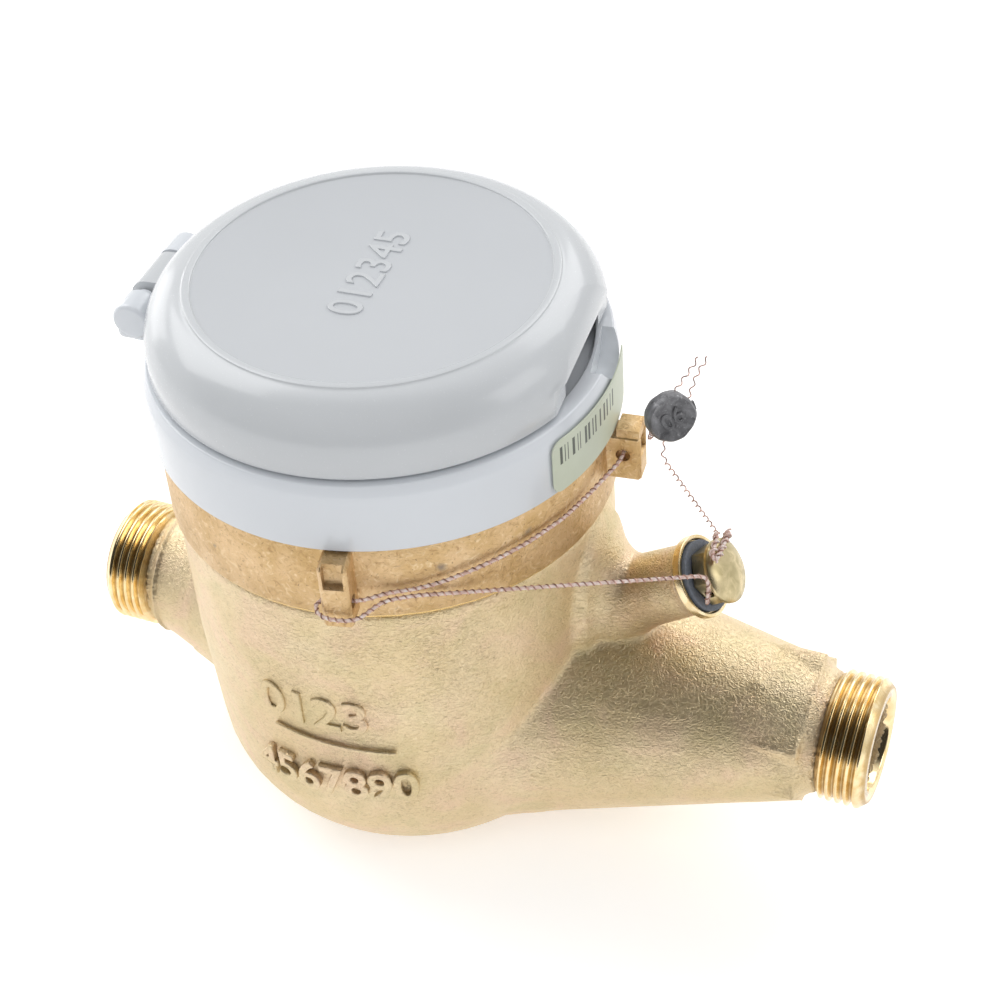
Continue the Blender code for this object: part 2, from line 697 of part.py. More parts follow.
def outlet_passage():
    """Wide mouth in the upper chamber that narrows to the bore at the thread."""
    straight = OUTLET_REACH - THREAD_LENGTH - 8 * MM
    mouth_z = PARTITION_Z + PARTITION_THICKNESS + OUTLET_MOUTH_RISE
    mouth_x = UPPER_CHAMBER_RADIUS - 5 * MM
    middle = (straight + mouth_x) / 2
    sections = [
        (OUTLET_REACH + 2 * MM, PIPE_Z, BORE_RADIUS, BORE_RADIUS, BORE_RADIUS),
        (straight, PIPE_Z, BORE_RADIUS, BORE_RADIUS, BORE_RADIUS),
        (middle + 6 * MM, PIPE_Z + 2.5 * MM, BORE_RADIUS + 1.5 * MM, BORE_RADIUS + 1 * MM,
         BORE_RADIUS + 3 * MM),
        (middle - 8 * MM, PIPE_Z + 6 * MM, BORE_RADIUS + 3 * MM, BORE_RADIUS - 1 * MM, BORE_RADIUS + 2 * MM),
        (mouth_x, mouth_z, BORE_RADIUS + 4 * MM, BORE_RADIUS - 2 * MM, BORE_RADIUS),
    ]
    return loft("outlet_passage", sections, CUTTERS, steps=20)


def build_body():
    body = lathe("body", bowl_profile(), PARTS, BRASS_CAST, steps=56)
    inlet = loft("inlet_form", inlet_sections(), CUTTERS, steps=32)
    outlet = loft("outlet_form", outlet_sections(), CUTTERS, steps=36)
    inlet_far = -(INLET_REACH - THREAD_LENGTH - GROOVE_LENGTH - GROOVE_DEPTH)
    outlet_near = OUTLET_REACH - THREAD_LENGTH - GROOVE_LENGTH - GROOVE_DEPTH
    inlet_flats = spanner_flats("inlet_flats", inlet_far + FLATS_STEP, inlet_far + FLATS_LENGTH)
    outlet_flats = spanner_flats("outlet_flats", outlet_near - FLATS_LENGTH, outlet_near - FLATS_STEP)
    join(body, inlet, outlet, inlet_flats, outlet_flats, boss_solid(), boss_root(), solver="MANIFOLD")
    cavity = lathe("cavity", cavity_profile(), CUTTERS, steps=36)
    cut(body, cavity, inlet_passage(), outlet_passage(), boss_bore(), solver="MANIFOLD")
    return body


# Regulating screw, washer and plug

def build_regulating_screw():
    top = -BOSS_BORE_DEPTH + SCREW_TIP_LENGTH + SCREW_LENGTH
    radius = BOSS_BORE_RADIUS - GAP
    low = -BOSS_BORE_DEPTH + SCREW_TIP_LENGTH
    profile = [
        (0.0, top),
        (radius - 0.5 * MM, top),
        (radius, top - 0.5 * MM),
        (radius, low),
        (BYPASS_RADIUS, low - SCREW_TIP_LENGTH + GAP),
        (0.0, low - SCREW_TIP_LENGTH + GAP),
    ]
    screw = lathe("regulating_screw", profile, PARTS, BRASS_MACHINED, steps=28)
    reach = 2 * radius
    slot = box(
        "screw_slot", (-reach, -SLOT_WIDTH / 2, top - SLOT_DEPTH), (reach, SLOT_WIDTH / 2, top + 1 * MM), CUTTERS)
    screw.matrix_world = boss_matrix()
    slot.matrix_world = boss_matrix()
    return cut(screw, slot)


def washer_bottom():
    return GAP - WASHER_RECESS


def build_plug_washer():
    low = washer_bottom()
    inner = PLUG_SHANK_RADIUS + GAP
    washer = ring("plug_washer", WASHER_RADIUS, inner, low, low + WASHER_THICKNESS, PARTS, FIBRE, 36)
    washer.matrix_world = boss_matrix()
    return washer


def plug_head_start():
    return washer_bottom() + WASHER_THICKNESS + GAP


def plug_hole_level():
    return plug_head_start() + PLUG_HEX_LENGTH * PLUG_HOLE_SHARE


def build_regulator_plug():
    """Shank, hexagon and domed cap, with a cross hole for the sealing wire."""
    head = plug_head_start()
    cap = head + PLUG_HEX_LENGTH
    top = cap + PLUG_CAP_THICKNESS
    profile = [
        (0.0, top + PLUG_DOME_HEIGHT),
        (PLUG_CAP_RADIUS * 0.45, top + PLUG_DOME_HEIGHT * 0.86),
        (PLUG_CAP_RADIUS * 0.80, top + PLUG_DOME_HEIGHT * 0.42),
        (PLUG_CAP_RADIUS, top - PLUG_CAP_THICKNESS * 0.3),
        (PLUG_CAP_RADIUS, cap),
        (PLUG_SHANK_RADIUS, cap),
        (PLUG_SHANK_RADIUS, -PLUG_SHANK_LENGTH),
        (0.0, -PLUG_SHANK_LENGTH),
    ]
    plug = lathe("regulator_plug", profile, PARTS, BRASS_MACHINED, steps=36)
    bm = bmesh.new()
    corner = PLUG_HEX_FLATS / 2 / math.cos(math.pi / 6)
    depth = PLUG_HEX_LENGTH + PLUG_CAP_THICKNESS / 2
    bmesh.ops.create_cone(bm, cap_ends=True, segments=6, radius1=corner, radius2=corner, depth=depth)
    seat = Matrix.Translation((0.0, 0.0, head + depth / 2)) @ Matrix.Rotation(PLUG_HOLE_ANGLE, 4, "Z")
    bmesh.ops.transform(bm, matrix=seat, verts=bm.verts)
    hexagon = object_from_bmesh("plug_hexagon", bm, CUTTERS)
    across = Vector((math.cos(PLUG_HOLE_ANGLE), math.sin(PLUG_HOLE_ANGLE), 0.0)) * 2 * PLUG_CAP_RADIUS
    middle = Vector((0.0, 0.0, plug_hole_level()))
    hole = rod("plug_hole", PLUG_HOLE_RADIUS, middle - across, middle + across, CUTTERS, steps=16)
    for obj in (plug, hexagon, hole):
        obj.matrix_world = boss_matrix()
    join(plug, hexagon)
    return cut(plug, hole)


# Head ring with its sealing lugs

def build_head_ring():
    bore = COLLAR_RADIUS + GAP
    shoulder_top = RING_SHOULDER_Z + RING_SHOULDER_HEIGHT
    neck_top = RING_TOP_Z + RING_NECK_HEIGHT
    profile = [
        (RING_NECK_RADIUS, neck_top),
        (RING_NECK_RADIUS, RING_TOP_Z),
        (RING_RADIUS, RING_TOP_Z),
        (RING_RADIUS, RING_BOTTOM_Z + 0.8 * MM),
        (RING_RADIUS - 0.5 * MM, RING_BOTTOM_Z),
        (bore, RING_BOTTOM_Z),
        (bore, RING_SHOULDER_Z),
        (RING_SHOULDER_RADIUS, RING_SHOULDER_Z),
        (RING_SHOULDER_RADIUS, shoulder_top),
        (RING_INNER_RADIUS, shoulder_top),
        (RING_INNER_RADIUS, neck_top),
    ]
    head_ring = lathe("head_ring", profile, PARTS, BRASS_RING, steps=56, closed=True)
    for number in range(len(LUG_AZIMUTHS)):
        add_lug(head_ring, number)
    return head_ring


def add_lug(head_ring, number):
    """A square ear with a shallow recess at its top and a hole for the sealing wire."""
    azimuth = LUG_AZIMUTHS[number]
    level = LUG_HOLE_LEVELS[number]
    root = RING_RADIUS - 1.5 * MM
    tip = RING_RADIUS + LUG_REACHES[number]
    half = LUG_WIDTH / 2
    low = (root, -half, RING_TOP_Z - LUG_HEIGHTS[number])
    lug = box("lug_%d" % (number + 1), low, (tip, half, RING_TOP_Z - LUG_TOP_DROP), CUTTERS)
    edges = lug.modifiers.new("edges", "BEVEL")
    edges.width = LUG_CHAMFER
    edges.segments = 1
    edges.limit_method = "ANGLE"
    ends = [(LUG_HOLE_RADIUS_OUT, -4 * half, level), (LUG_HOLE_RADIUS_OUT, 4 * half, level)]
    hole = rod("lug_hole_%d" % (number + 1), LUG_HOLE_RADIUS, ends[0], ends[1], CUTTERS, steps=14)
    inset = half - LUG_RECESS_RIM
    recess = box(
        "lug_recess_%d" % (number + 1), (tip - LUG_RECESS_DEPTH, -inset, RING_TOP_Z - LUG_RECESS_HEIGHT),
        (tip + OPEN_CUT, inset, RING_TOP_Z + 3 * OPEN_CUT), CUTTERS)
    for obj in (lug, hole, recess):
        obj.rotation_euler = (0.0, 0.0, azimuth)
    join(head_ring, lug)
    cut(head_ring, recess, hole)
    if number == CRESTED_LUG:
        start = HOOD_RADIUS + LUG_CREST_GAP
        base = RING_TOP_Z - 2 * LUG_CHAMFER
        side = half - LUG_CREST_INSET
        end = (tip - LUG_CREST_INSET, side, RING_TOP_Z + LUG_CREST_RISE)
        crest = box("lug_crest", (start, -side, base), end, CUTTERS)
        crest.rotation_euler = (0.0, 0.0, azimuth)
        join(head_ring, crest)


# Strainer basket, measuring chamber and impeller

def build_strainer_basket():
    inner = BASKET_RADIUS - BASKET_WALL
    flange_top = BASKET_FLANGE_Z + BASKET_FLANGE
    profile = [
        (FLANGE_EDGE_RADIUS, flange_top),
        (FLANGE_EDGE_RADIUS, BASKET_FLANGE_Z),
        (BASKET_RADIUS, BASKET_FLANGE_Z),
        (BASKET_RADIUS, BASKET_BOTTOM_Z),
        (0.0, BASKET_BOTTOM_Z),
        (0.0, BASKET_BOTTOM_Z + BASKET_WALL),
        (inner, BASKET_BOTTOM_Z + BASKET_WALL),
        (inner, flange_top),
    ]
    basket = lathe("strainer_basket", profile, PARTS, STRAINER_PLASTIC, steps=36, closed=True)
    low = BASKET_BOTTOM_Z + 4 * MM
    high = BASKET_FLANGE_Z - 6 * MM
    reach = BASKET_RADIUS + 2 * MM
    half = BASKET_SLOT_WIDTH / 2
    for i in range(BASKET_SLOTS // 2):
        slot = box("basket_slot_%d" % (i + 1), (-reach, -half, low), (reach, half, high), CUTTERS)
        slot.rotation_euler = (0.0, 0.0, math.pi * (i + 0.5) / (BASKET_SLOTS // 2))
        cut(basket, slot)
    return basket


def build_chamber_cup():
    inner = CHAMBER_RADIUS - CHAMBER_WALL
    floor_z = CHAMBER_BOTTOM_Z + CHAMBER_WALL
    flange_top = CHAMBER_FLANGE_Z + CHAMBER_FLANGE
    socket = PIVOT_RADIUS + GAP
    profile = [
        (CHAMBER_RADIUS, CHAMBER_TOP_Z),
        (CHAMBER_RADIUS, flange_top),
        (FLANGE_EDGE_RADIUS, flange_top),
        (FLANGE_EDGE_RADIUS, CHAMBER_FLANGE_Z),
        (CHAMBER_RADIUS, CHAMBER_FLANGE_Z),
        (CHAMBER_RADIUS, CHAMBER_BOTTOM_Z),
        (socket, CHAMBER_BOTTOM_Z),
        (socket, floor_z),
        (inner, floor_z),
        (inner, CHAMBER_TOP_Z),
    ]
    cup = lathe("chamber_cup", profile, PARTS, CHAMBER_PLASTIC, steps=32, closed=True)
    rows = [(floor_z + INLET_JET_RISE, 1), (CHAMBER_FLANGE_Z + OUTLET_JET_RISE, -1)]
    for row, (low, sense) in enumerate(rows, start=1):
        for i in range(JET_COUNT):
            sides = sorted((sense * JET_OFFSET, sense * (JET_OFFSET + JET_WIDTH)))
            low_corner = (inner / 2, sides[0], low)
            high_corner = (CHAMBER_RADIUS + OPEN_CUT, sides[1], low + JET_HEIGHT)
            jet = box("jet_%d_%d" % (row, i + 1), low_corner, high_corner, CUTTERS)
            jet.rotation_euler = (0.0, 0.0, 2 * math.pi * i / JET_COUNT)
            cut(cup, jet)
    return cup


def build_chamber_cover():
    top = COVER_Z + CHAMBER_COVER_THICKNESS
    return disc("chamber_cover", CHAMBER_RADIUS, COVER_Z, top, PARTS, CHAMBER_PLASTIC)


def build_impeller():
    hub_bottom = BLADE_BOTTOM_Z - 1.5 * MM
    socket = PIVOT_RADIUS + GAP
    socket_top = PIVOT_Z + PIVOT_LENGTH + GAP
    profile = [
        (0.0, HUB_TOP_Z),
        (PIVOT_RADIUS, HUB_TOP_Z),
        (HUB_RADIUS, HUB_TOP_Z - 1.2 * MM),
        (HUB_RADIUS, hub_bottom),
        (socket, hub_bottom),
        (socket, socket_top),
        (0.0, socket_top),
    ]
    impeller = lathe("impeller", profile, PARTS, IMPELLER_PLASTIC, steps=24)
    top = BLADE_BOTTOM_Z + BLADE_HEIGHT
    half = BLADE_THICKNESS / 2
    for i in range(IMPELLER_BLADES):
        low = (HUB_RADIUS - 1.2 * MM, -half, BLADE_BOTTOM_Z)
        blade = box("blade_%d" % (i + 1), low, (IMPELLER_RADIUS, half, top), CUTTERS)
        blade.rotation_euler = (0.0, 0.0, 2 * math.pi * i / IMPELLER_BLADES)
        join(impeller, blade)
    return impeller


def magnet_top():
    return HUB_TOP_Z - 1.4 * MM


def build_drive_magnet():
    top = magnet_top()
    return ring("drive_magnet", MAGNET_RADIUS, HUB_RADIUS + GAP, top - MAGNET_HEIGHT, top, PARTS, MAGNET, 32)


def build_impeller_pivot():
    low = CHAMBER_BOTTOM_Z
    return rod("impeller_pivot", PIVOT_RADIUS, (0, 0, low), (0, 0, PIVOT_Z + PIVOT_LENGTH), PARTS, STEEL, 16)


# Pressure cup, seal ring and slip ring

def build_pressure_cup():
    inner = CAN_RADIUS + GAP
    floor_top = PRESSURE_CUP_Z + PRESSURE_CUP_FLOOR
    profile = [
        (PRESSURE_CUP_RADIUS, PRESSURE_CUP_TOP_Z),
        (PRESSURE_CUP_RADIUS, PRESSURE_CUP_Z),
        (0.0, PRESSURE_CUP_Z),
        (0.0, floor_top),
        (inner, floor_top),
        (inner, PRESSURE_CUP_TOP_Z),
    ]
    return lathe("pressure_cup", profile, PARTS, BRASS_MACHINED, steps=40, closed=True)


def build_seal_ring():
    centre = PRESSURE_CUP_RADIUS - SEAL_RING_SECTION
    level = PRESSURE_CUP_TOP_Z + GAP + SEAL_RING_SECTION
    profile = arc(centre, level, SEAL_RING_SECTION, 90.0, -210.0, 5)
    return lathe("seal_ring", profile, PARTS, RUBBER, steps=40, closed=True)


def build_slip_ring():
    return ring(
        "slip_ring", PRESSURE_CUP_RADIUS, CAN_RADIUS + GAP,
        SLIP_RING_Z, SLIP_RING_Z + SLIP_RING_THICKNESS, PARTS, SLIP_PLASTIC)


# Register

def build_register_can():
    glass_seat = GLASS_BOTTOM_Z - GAP
    upper = CAN_INNER_RADIUS + GLASS_LEDGE
    profile = [
        (CAN_RADIUS, CAN_TOP_Z),
        (CAN_RADIUS, CAN_FLANGE_Z + CAN_FLANGE),
        (PRESSURE_CUP_RADIUS, CAN_FLANGE_Z + CAN_FLANGE),
        (PRESSURE_CUP_RADIUS, CAN_FLANGE_Z),
        (CAN_RADIUS, CAN_FLANGE_Z),
        (CAN_RADIUS, CAN_BOTTOM_Z),
        (0.0, CAN_BOTTOM_Z),
        (0.0, CAN_FLOOR_Z),
        (CAN_INNER_RADIUS, CAN_FLOOR_Z),
        (CAN_INNER_RADIUS, glass_seat),
        (upper, glass_seat),
        (upper, CAN_TOP_Z),
    ]
    can = lathe("register_can", profile, PARTS, CAN_METAL, steps=40, closed=True)
    return place(can, REGISTER)


def build_register_glass():
    radius = CAN_INNER_RADIUS + GLASS_LEDGE - GAP
    profile = [
        (0.0, GLASS_TOP_Z),
        (radius - 0.5 * MM, GLASS_TOP_Z),
        (radius, GLASS_TOP_Z - 0.5 * MM),
        (radius, GLASS_BOTTOM_Z),
        (0.0, GLASS_BOTTOM_Z),
    ]
    return place(lathe("register_glass", profile, PARTS, GLASS, steps=40), REGISTER)


def pointer_spots():
    first = -POINTER_SPREAD * (POINTER_COUNT - 1) / 2
    angles = [first + POINTER_SPREAD * i for i in range(POINTER_COUNT)]
    return [(POINTER_CIRCLE * math.cos(a), POINTER_CIRCLE * math.sin(a)) for a in angles]


def build_dial_face():
    dial = disc("dial_face", DIAL_RADIUS, DIAL_BOTTOM_Z, DIAL_TOP_Z, PARTS, DIAL_PAINT, steps=40)
    half_x = DIAL_WINDOW_WIDTH / 2
    half_y = DRUM_COUNT * DRUM_PITCH / 2
    window = box(
        "dial_window", (DRUM_ROW_X - half_x, -half_y, DIAL_BOTTOM_Z - 1 * MM),
        (DRUM_ROW_X + half_x, half_y, DIAL_TOP_Z + 1 * MM), CUTTERS)
    cut(dial, place(window, REGISTER))
    for number, (x, y) in enumerate(pointer_spots() + [(STAR_X, 0.0)], start=1):
        ends = ((x, y, DIAL_BOTTOM_Z - 1 * MM), (x, y, DIAL_TOP_Z + 1 * MM))
        hole = rod("arbor_hole_%d" % number, ARBOR_RADIUS + GAP, ends[0], ends[1], CUTTERS, steps=12)
        cut(dial, place(hole, REGISTER))
    return place(dial, REGISTER)


def build_gear_frame():
    frame = disc("gear_frame", DIAL_RADIUS, FRAME_Z, FRAME_TOP_Z, PARTS, FRAME_PLASTIC, steps=40)
    for number, angle in enumerate((math.radians(100), math.radians(-100), math.radians(180)), start=1):
        x = PILLAR_CIRCLE * math.cos(angle)
        y = PILLAR_CIRCLE * math.sin(angle)
        low = (x, y, FRAME_Z + FRAME_PLATE / 2)
        pillar = rod("pillar_%d" % number, PILLAR_RADIUS, low, (x, y, DIAL_BOTTOM_Z - GAP), CUTTERS, steps=16)
        join(frame, place(pillar, REGISTER))
    half_x = DRUM_RADIUS * 0.55
    half_y = BRACKET_THICKNESS / 2
    for number, side in enumerate((-1, 1), start=1):
        y = side * BRACKET_Y
        low = (DRUM_ROW_X - half_x, y - half_y, FRAME_Z + FRAME_PLATE / 2)
        high = (DRUM_ROW_X + half_x, y + half_y, DRUM_AXIS_Z + 2.4 * MM)
        join(frame, place(box("bracket_%d" % number, low, high, CUTTERS), REGISTER))
    reach = BRACKET_Y + BRACKET_THICKNESS
    ends = ((DRUM_ROW_X, -reach, DRUM_AXIS_Z), (DRUM_ROW_X, reach, DRUM_AXIS_Z))
    seat = rod("axle_seat", DRUM_AXLE_RADIUS + GAP, ends[0], ends[1], CUTTERS, steps=16)
    cut(frame, place(seat, REGISTER))
    return place(frame, REGISTER)


def build_drum_axle():
    reach = BRACKET_Y + BRACKET_THICKNESS / 2
    ends = ((DRUM_ROW_X, -reach, DRUM_AXIS_Z), (DRUM_ROW_X, reach, DRUM_AXIS_Z))
    return place(rod("drum_axle", DRUM_AXLE_RADIUS, ends[0], ends[1], PARTS, STEEL, 16), REGISTER)


def build_number_drums():
    half = DRUM_WIDTH / 2
    inner = DRUM_AXLE_RADIUS + GAP
    for i in range(DRUM_COUNT):
        drum = ring("number_drum_%d" % (i + 1), DRUM_RADIUS, inner, -half, half, PARTS, DRUM_PLASTIC, 24)
        drum.location = (DRUM_ROW_X, (i - (DRUM_COUNT - 1) / 2) * DRUM_PITCH, DRUM_AXIS_Z)
        drum.rotation_euler = (math.pi / 2, 0.0, 0.0)
        place(drum, REGISTER)


def gear_outline(radius, teeth, depth):
    """Outline of a spur gear with straight-flanked teeth."""
    points = []
    pitch = 2 * math.pi / teeth
    steps = [(-0.32, radius - depth), (-0.14, radius), (0.14, radius), (0.32, radius - depth)]
    for i in range(teeth):
        for share, reach in steps:
            angle = pitch * (i + share)
            points.append((reach * math.cos(angle), reach * math.sin(angle)))
    return points


def extrude_outline(name, points, bottom, top, collection, material):
    """A flat outline as a filled 2D curve, made a closed mesh."""
    curve = bpy.data.curves.new(name + "_outline", "CURVE")
    curve.dimensions = "2D"
    curve.fill_mode = "BOTH"
    curve.extrude = (top - bottom) / 2
    spline = curve.splines.new("POLY")
    spline.points.add(len(points) - 1)
    for point, (x, y) in zip(spline.points, points):
        point.co = (x, y, 0.0, 1.0)
    spline.use_cyclic_u = True
    source = bpy.data.objects.new(name + "_outline", curve)
    collection.objects.link(source)
    source.location = (0.0, 0.0, (top + bottom) / 2)
    return mesh_from_curve(name, source, collection, material)


def mesh_from_curve(name, source, collection, material):
    """Turn a curve object into a closed mesh object at the same place."""
    bpy.context.view_layer.update()
    graph = bpy.context.evaluated_depsgraph_get()
    mesh = bpy.data.meshes.new_from_object(source.evaluated_get(graph))
    bm = bmesh.new()
    bm.from_mesh(mesh)
    bmesh.ops.remove_doubles(bm, verts=bm.verts, dist=MERGE)
    matrix = source.matrix_world.copy()
    obj = object_from_bmesh(name, bm, collection, material)
    obj.matrix_world = matrix
    bpy.data.meshes.remove(mesh)
    bpy.data.objects.remove(source)
    return obj


def build_pointers():
    """Four pointers above the dial, each on an arbor that carries its gear."""
    low = FRAME_TOP_Z + GAP
    gear_low = FRAME_TOP_Z + GEAR_LIFT
    for number, (x, y) in enumerate(pointer_spots(), start=1):
        needle_low = DIAL_TOP_Z + 0.5 * MM
        needle_top = needle_low + POINTER_THICKNESS
        profile = [
            (0.0, needle_top + 0.4 * MM),
            (POINTER_HUB_RADIUS, needle_top),
            (POINTER_HUB_RADIUS, needle_low),
            (ARBOR_RADIUS, needle_low),
            (ARBOR_RADIUS, low),
            (0.0, low),
        ]
        pointer = lathe("pointer_%d" % number, profile, PARTS, POINTER_RED, steps=16)
        tip = 0.25 * MM
        outline = [(0.0, 0.9 * MM), (0.0, -0.9 * MM), (POINTER_LENGTH, -tip), (POINTER_LENGTH, tip)]
        needle = extrude_outline("needle_%d" % number, outline, needle_low, needle_top, CUTTERS, None)
        heading = 2 * math.pi * number / 7
        for obj in (pointer, needle):
            obj.location.x = x
            obj.location.y = y
            obj.rotation_euler = (0.0, 0.0, heading)
            place(obj, REGISTER)
        join(pointer, needle)
        gear = build_gear("pointer_gear_%d" % number, x, y, gear_low, BRASS_MACHINED)
        gear.rotation_euler = (0.0, 0.0, heading)


def build_gear(name, x, y, low, material):
    outline = gear_outline(GEAR_RADIUS, GEAR_TEETH, TOOTH_DEPTH)
    gear = extrude_outline(name, outline, low, low + GEAR_THICKNESS, PARTS, material)
    ends = ((0, 0, -GEAR_THICKNESS * 2), (0, 0, GEAR_THICKNESS * 2))
    hole = rod(name + "_hole", ARBOR_RADIUS + GAP, ends[0], ends[1], CUTTERS, steps=12)
    for obj in (gear, hole):
        obj.location = (x, y, low + GEAR_THICKNESS / 2)
        place(obj, REGISTER)
    return cut(gear, hole)


def build_star_wheel():
    low = FRAME_TOP_Z + GAP
    star_low = DIAL_TOP_Z + 0.5 * MM
    star_top = star_low + POINTER_THICKNESS
    profile = [
        (0.0, star_top + 0.3 * MM),
        (POINTER_HUB_RADIUS, star_top),
        (POINTER_HUB_RADIUS, star_low),
        (ARBOR_RADIUS, star_low),
        (ARBOR_RADIUS, low),
        (0.0, low),
    ]
    star = lathe("star_wheel", profile, PARTS, POINTER_RED, steps=16)
    points = []
    for i in range(STAR_POINTS * 2):
        reach = STAR_RADIUS if i % 2 == 0 else STAR_RADIUS * 0.55
        angle = math.pi * i / STAR_POINTS
        points.append((reach * math.cos(angle), reach * math.sin(angle)))
    rays = extrude_outline("star_rays", points, star_low, star_top - 0.1 * MM, CUTTERS, None)
    for obj in (star, rays):
        obj.location.x = STAR_X
        place(obj, REGISTER)
    join(star, rays)
    build_gear("star_gear", STAR_X, 0.0, low + DRIVEN_MAGNET_HEIGHT + 2 * GAP, BRASS_MACHINED)
    return star


def build_driven_magnet():
    low = FRAME_TOP_Z + GAP
    top = low + DRIVEN_MAGNET_HEIGHT
    profile = [
        (0.0, top + PINION_HEIGHT),
        (PINION_RADIUS, top + PINION_HEIGHT),
        (PINION_RADIUS, top),
        (DRIVEN_MAGNET_RADIUS, top),
        (DRIVEN_MAGNET_RADIUS, low),
        (0.0, low),
    ]
    return place(lathe("driven_magnet", profile, PARTS, MAGNET, steps=28), REGISTER)


# Hood, lid and hinge

def hood_profile():
    slot_top = RING_TOP_Z + RING_NECK_HEIGHT + GAP
    skirt = RING_NECK_RADIUS + GAP
    wall = CAN_RADIUS + GAP
    lip_bottom = CAN_TOP_Z + GAP
    lip_top = lip_bottom + HOOD_LIP_THICKNESS
    return [
        (HOOD_LEDGE_RADIUS, HOOD_TOP_Z - HOOD_DISH_DEPTH),
        (HOOD_LEDGE_RADIUS, HOOD_TOP_Z),
        (HOOD_TOP_RADIUS - 0.4 * MM, HOOD_TOP_Z),
        (HOOD_TOP_RADIUS, HOOD_TOP_Z - 0.4 * MM),
        (HOOD_RADIUS - 0.2 * MM, HOOD_TOP_Z - HOOD_EDGE_HEIGHT * 0.6),
        (HOOD_RADIUS, HOOD_TOP_Z - HOOD_EDGE_HEIGHT),
        (HOOD_RADIUS, HOOD_BOTTOM_Z + 0.4 * MM),
        (HOOD_RADIUS - 0.4 * MM, HOOD_BOTTOM_Z),
        (skirt, HOOD_BOTTOM_Z),
        (skirt, slot_top),
        (wall, slot_top),
        (wall, lip_bottom),
        (HOOD_LIP_RADIUS, lip_bottom),
        (HOOD_LIP_RADIUS, lip_top),
    ]


def hinge_rod(name, radius, start, end, collection, steps=28):
    low = (-HINGE_OUT, start, HINGE_Z)
    high = (-HINGE_OUT, end, HINGE_Z)
    return place(rod(name, radius, low, high, collection, None, steps), REGISTER)


def build_hood_ring():
    hood = lathe("hood_ring", hood_profile(), PARTS, HOOD_PLASTIC, steps=56, closed=True)
    place(hood, REGISTER)
    outer = -HINGE_OUT - KNUCKLE_RADIUS + BLOCK_INSET
    bottom = HINGE_Z - HINGE_BLOCK_DROP
    for number, (near, far) in enumerate((FRONT_KNUCKLE, BACK_KNUCKLE), start=1):
        low = (-HINGE_OUT, near + 2 * BLOCK_INSET, bottom + BLOCK_INSET)
        high = (-HOOD_RADIUS + ROOT_REACH, far - 2 * BLOCK_INSET, HOOD_TOP_Z - BLOCK_INSET)
        join(hood, place(box("hinge_root_%d" % number, low, high, CUTTERS), REGISTER))
        low = (outer, near + BLOCK_INSET, bottom)
        high = (-HOOD_RADIUS + BLOCK_REACH, far - BLOCK_INSET, HINGE_Z - BLOCK_TOP_DROP)
        block = box("hinge_block_%d" % number, low, high, CUTTERS)
        edges = block.modifiers.new("edges", "BEVEL")
        edges.width = BLOCK_ROUNDING
        edges.segments = 2
        edges.limit_method = "ANGLE"
        join(hood, place(block, REGISTER))
    join(hood, hinge_rod("hinge_barrel", KNUCKLE_RADIUS, FRONT_KNUCKLE[0], BACK_KNUCKLE[1], CUTTERS))
    room = KNUCKLE_RADIUS + HINGE_RELIEF
    cut(hood, hinge_rod("hood_relief", room, FRONT_KNUCKLE[1], BACK_KNUCKLE[0], CUTTERS))
    stub_end = LID_KNUCKLE[0] - KNUCKLE_GAP
    join(hood, hinge_rod("hinge_stub", STUB_RADIUS, FRONT_KNUCKLE[1] - OPEN_CUT, stub_end, CUTTERS))
    blind = FRONT_KNUCKLE[0] + PIN_SETBACK
    cut(hood, hinge_rod("hood_pin_hole", HINGE_PIN_RADIUS + GAP, blind, BACK_KNUCKLE[1] + OPEN_CUT, CUTTERS, 16))
    cut(hood, place(finger_dip(), REGISTER))
    return hood


def finger_dip():
    level = HOOD_TOP_Z + DIP_RADIUS - DIP_DEPTH
    inner = HOOD_LEDGE_RADIUS - 1 * MM
    dip = rod("finger_dip", DIP_RADIUS, (inner, 0, level), (HOOD_RADIUS + 3 * MM, 0, level), CUTTERS, steps=32)
    dip.rotation_euler = (0.0, 0.0, DIP_TURN)
    return dip


def shoulder_centre():
    return (LID_RADIUS - LID_SHOULDER_RADIUS, LID_BOTTOM_Z + LID_LIP_HEIGHT)


def lid_profile():
    centre_r, shoulder_z = shoulder_centre()
    disc_z = LID_TOP_Z - LID_DISC_INSET
    shoulder_start = LID_BEAD_RADIUS + LID_BEAD_SLOPE
    start = math.degrees(math.acos((shoulder_start - centre_r) / LID_SHOULDER_RADIUS))
    profile = [
        (0.0, disc_z),
        (LID_DISC_RADIUS, disc_z),
        (LID_DISC_RADIUS + LID_BEAD_SLOPE, LID_TOP_Z),
        (LID_BEAD_RADIUS, LID_TOP_Z),
    ]
    profile += arc(centre_r, shoulder_z, LID_SHOULDER_RADIUS, start, 0.0, 6)
    inner_r = LID_RADIUS - LID_WALL
    inner_round = LID_SHOULDER_RADIUS - LID_WALL
    profile += [
        (LID_RADIUS, LID_BOTTOM_Z + 0.4 * MM),
        (LID_RADIUS - 0.4 * MM, LID_BOTTOM_Z),
        (inner_r, LID_BOTTOM_Z),
    ]
    profile += arc(centre_r, shoulder_z, inner_round, 0.0, LID_INNER_SWEEP, 3)
    profile.append((0.0, LID_TOP_Z - LID_WALL))
    return profile


def notch_lip():
    """What the finger notch takes from the lid's lower rim."""
    notch = LID_RADIUS - NOTCH_DEPTH
    low = (notch - NOTCH_UNDERCUT, -LID_RADIUS, LID_BOTTOM_Z - OPEN_CUT)
    return box("notch_lip", low, (HOOD_RADIUS, LID_RADIUS, LID_BOTTOM_Z + NOTCH_RIM_HEIGHT), CUTTERS)


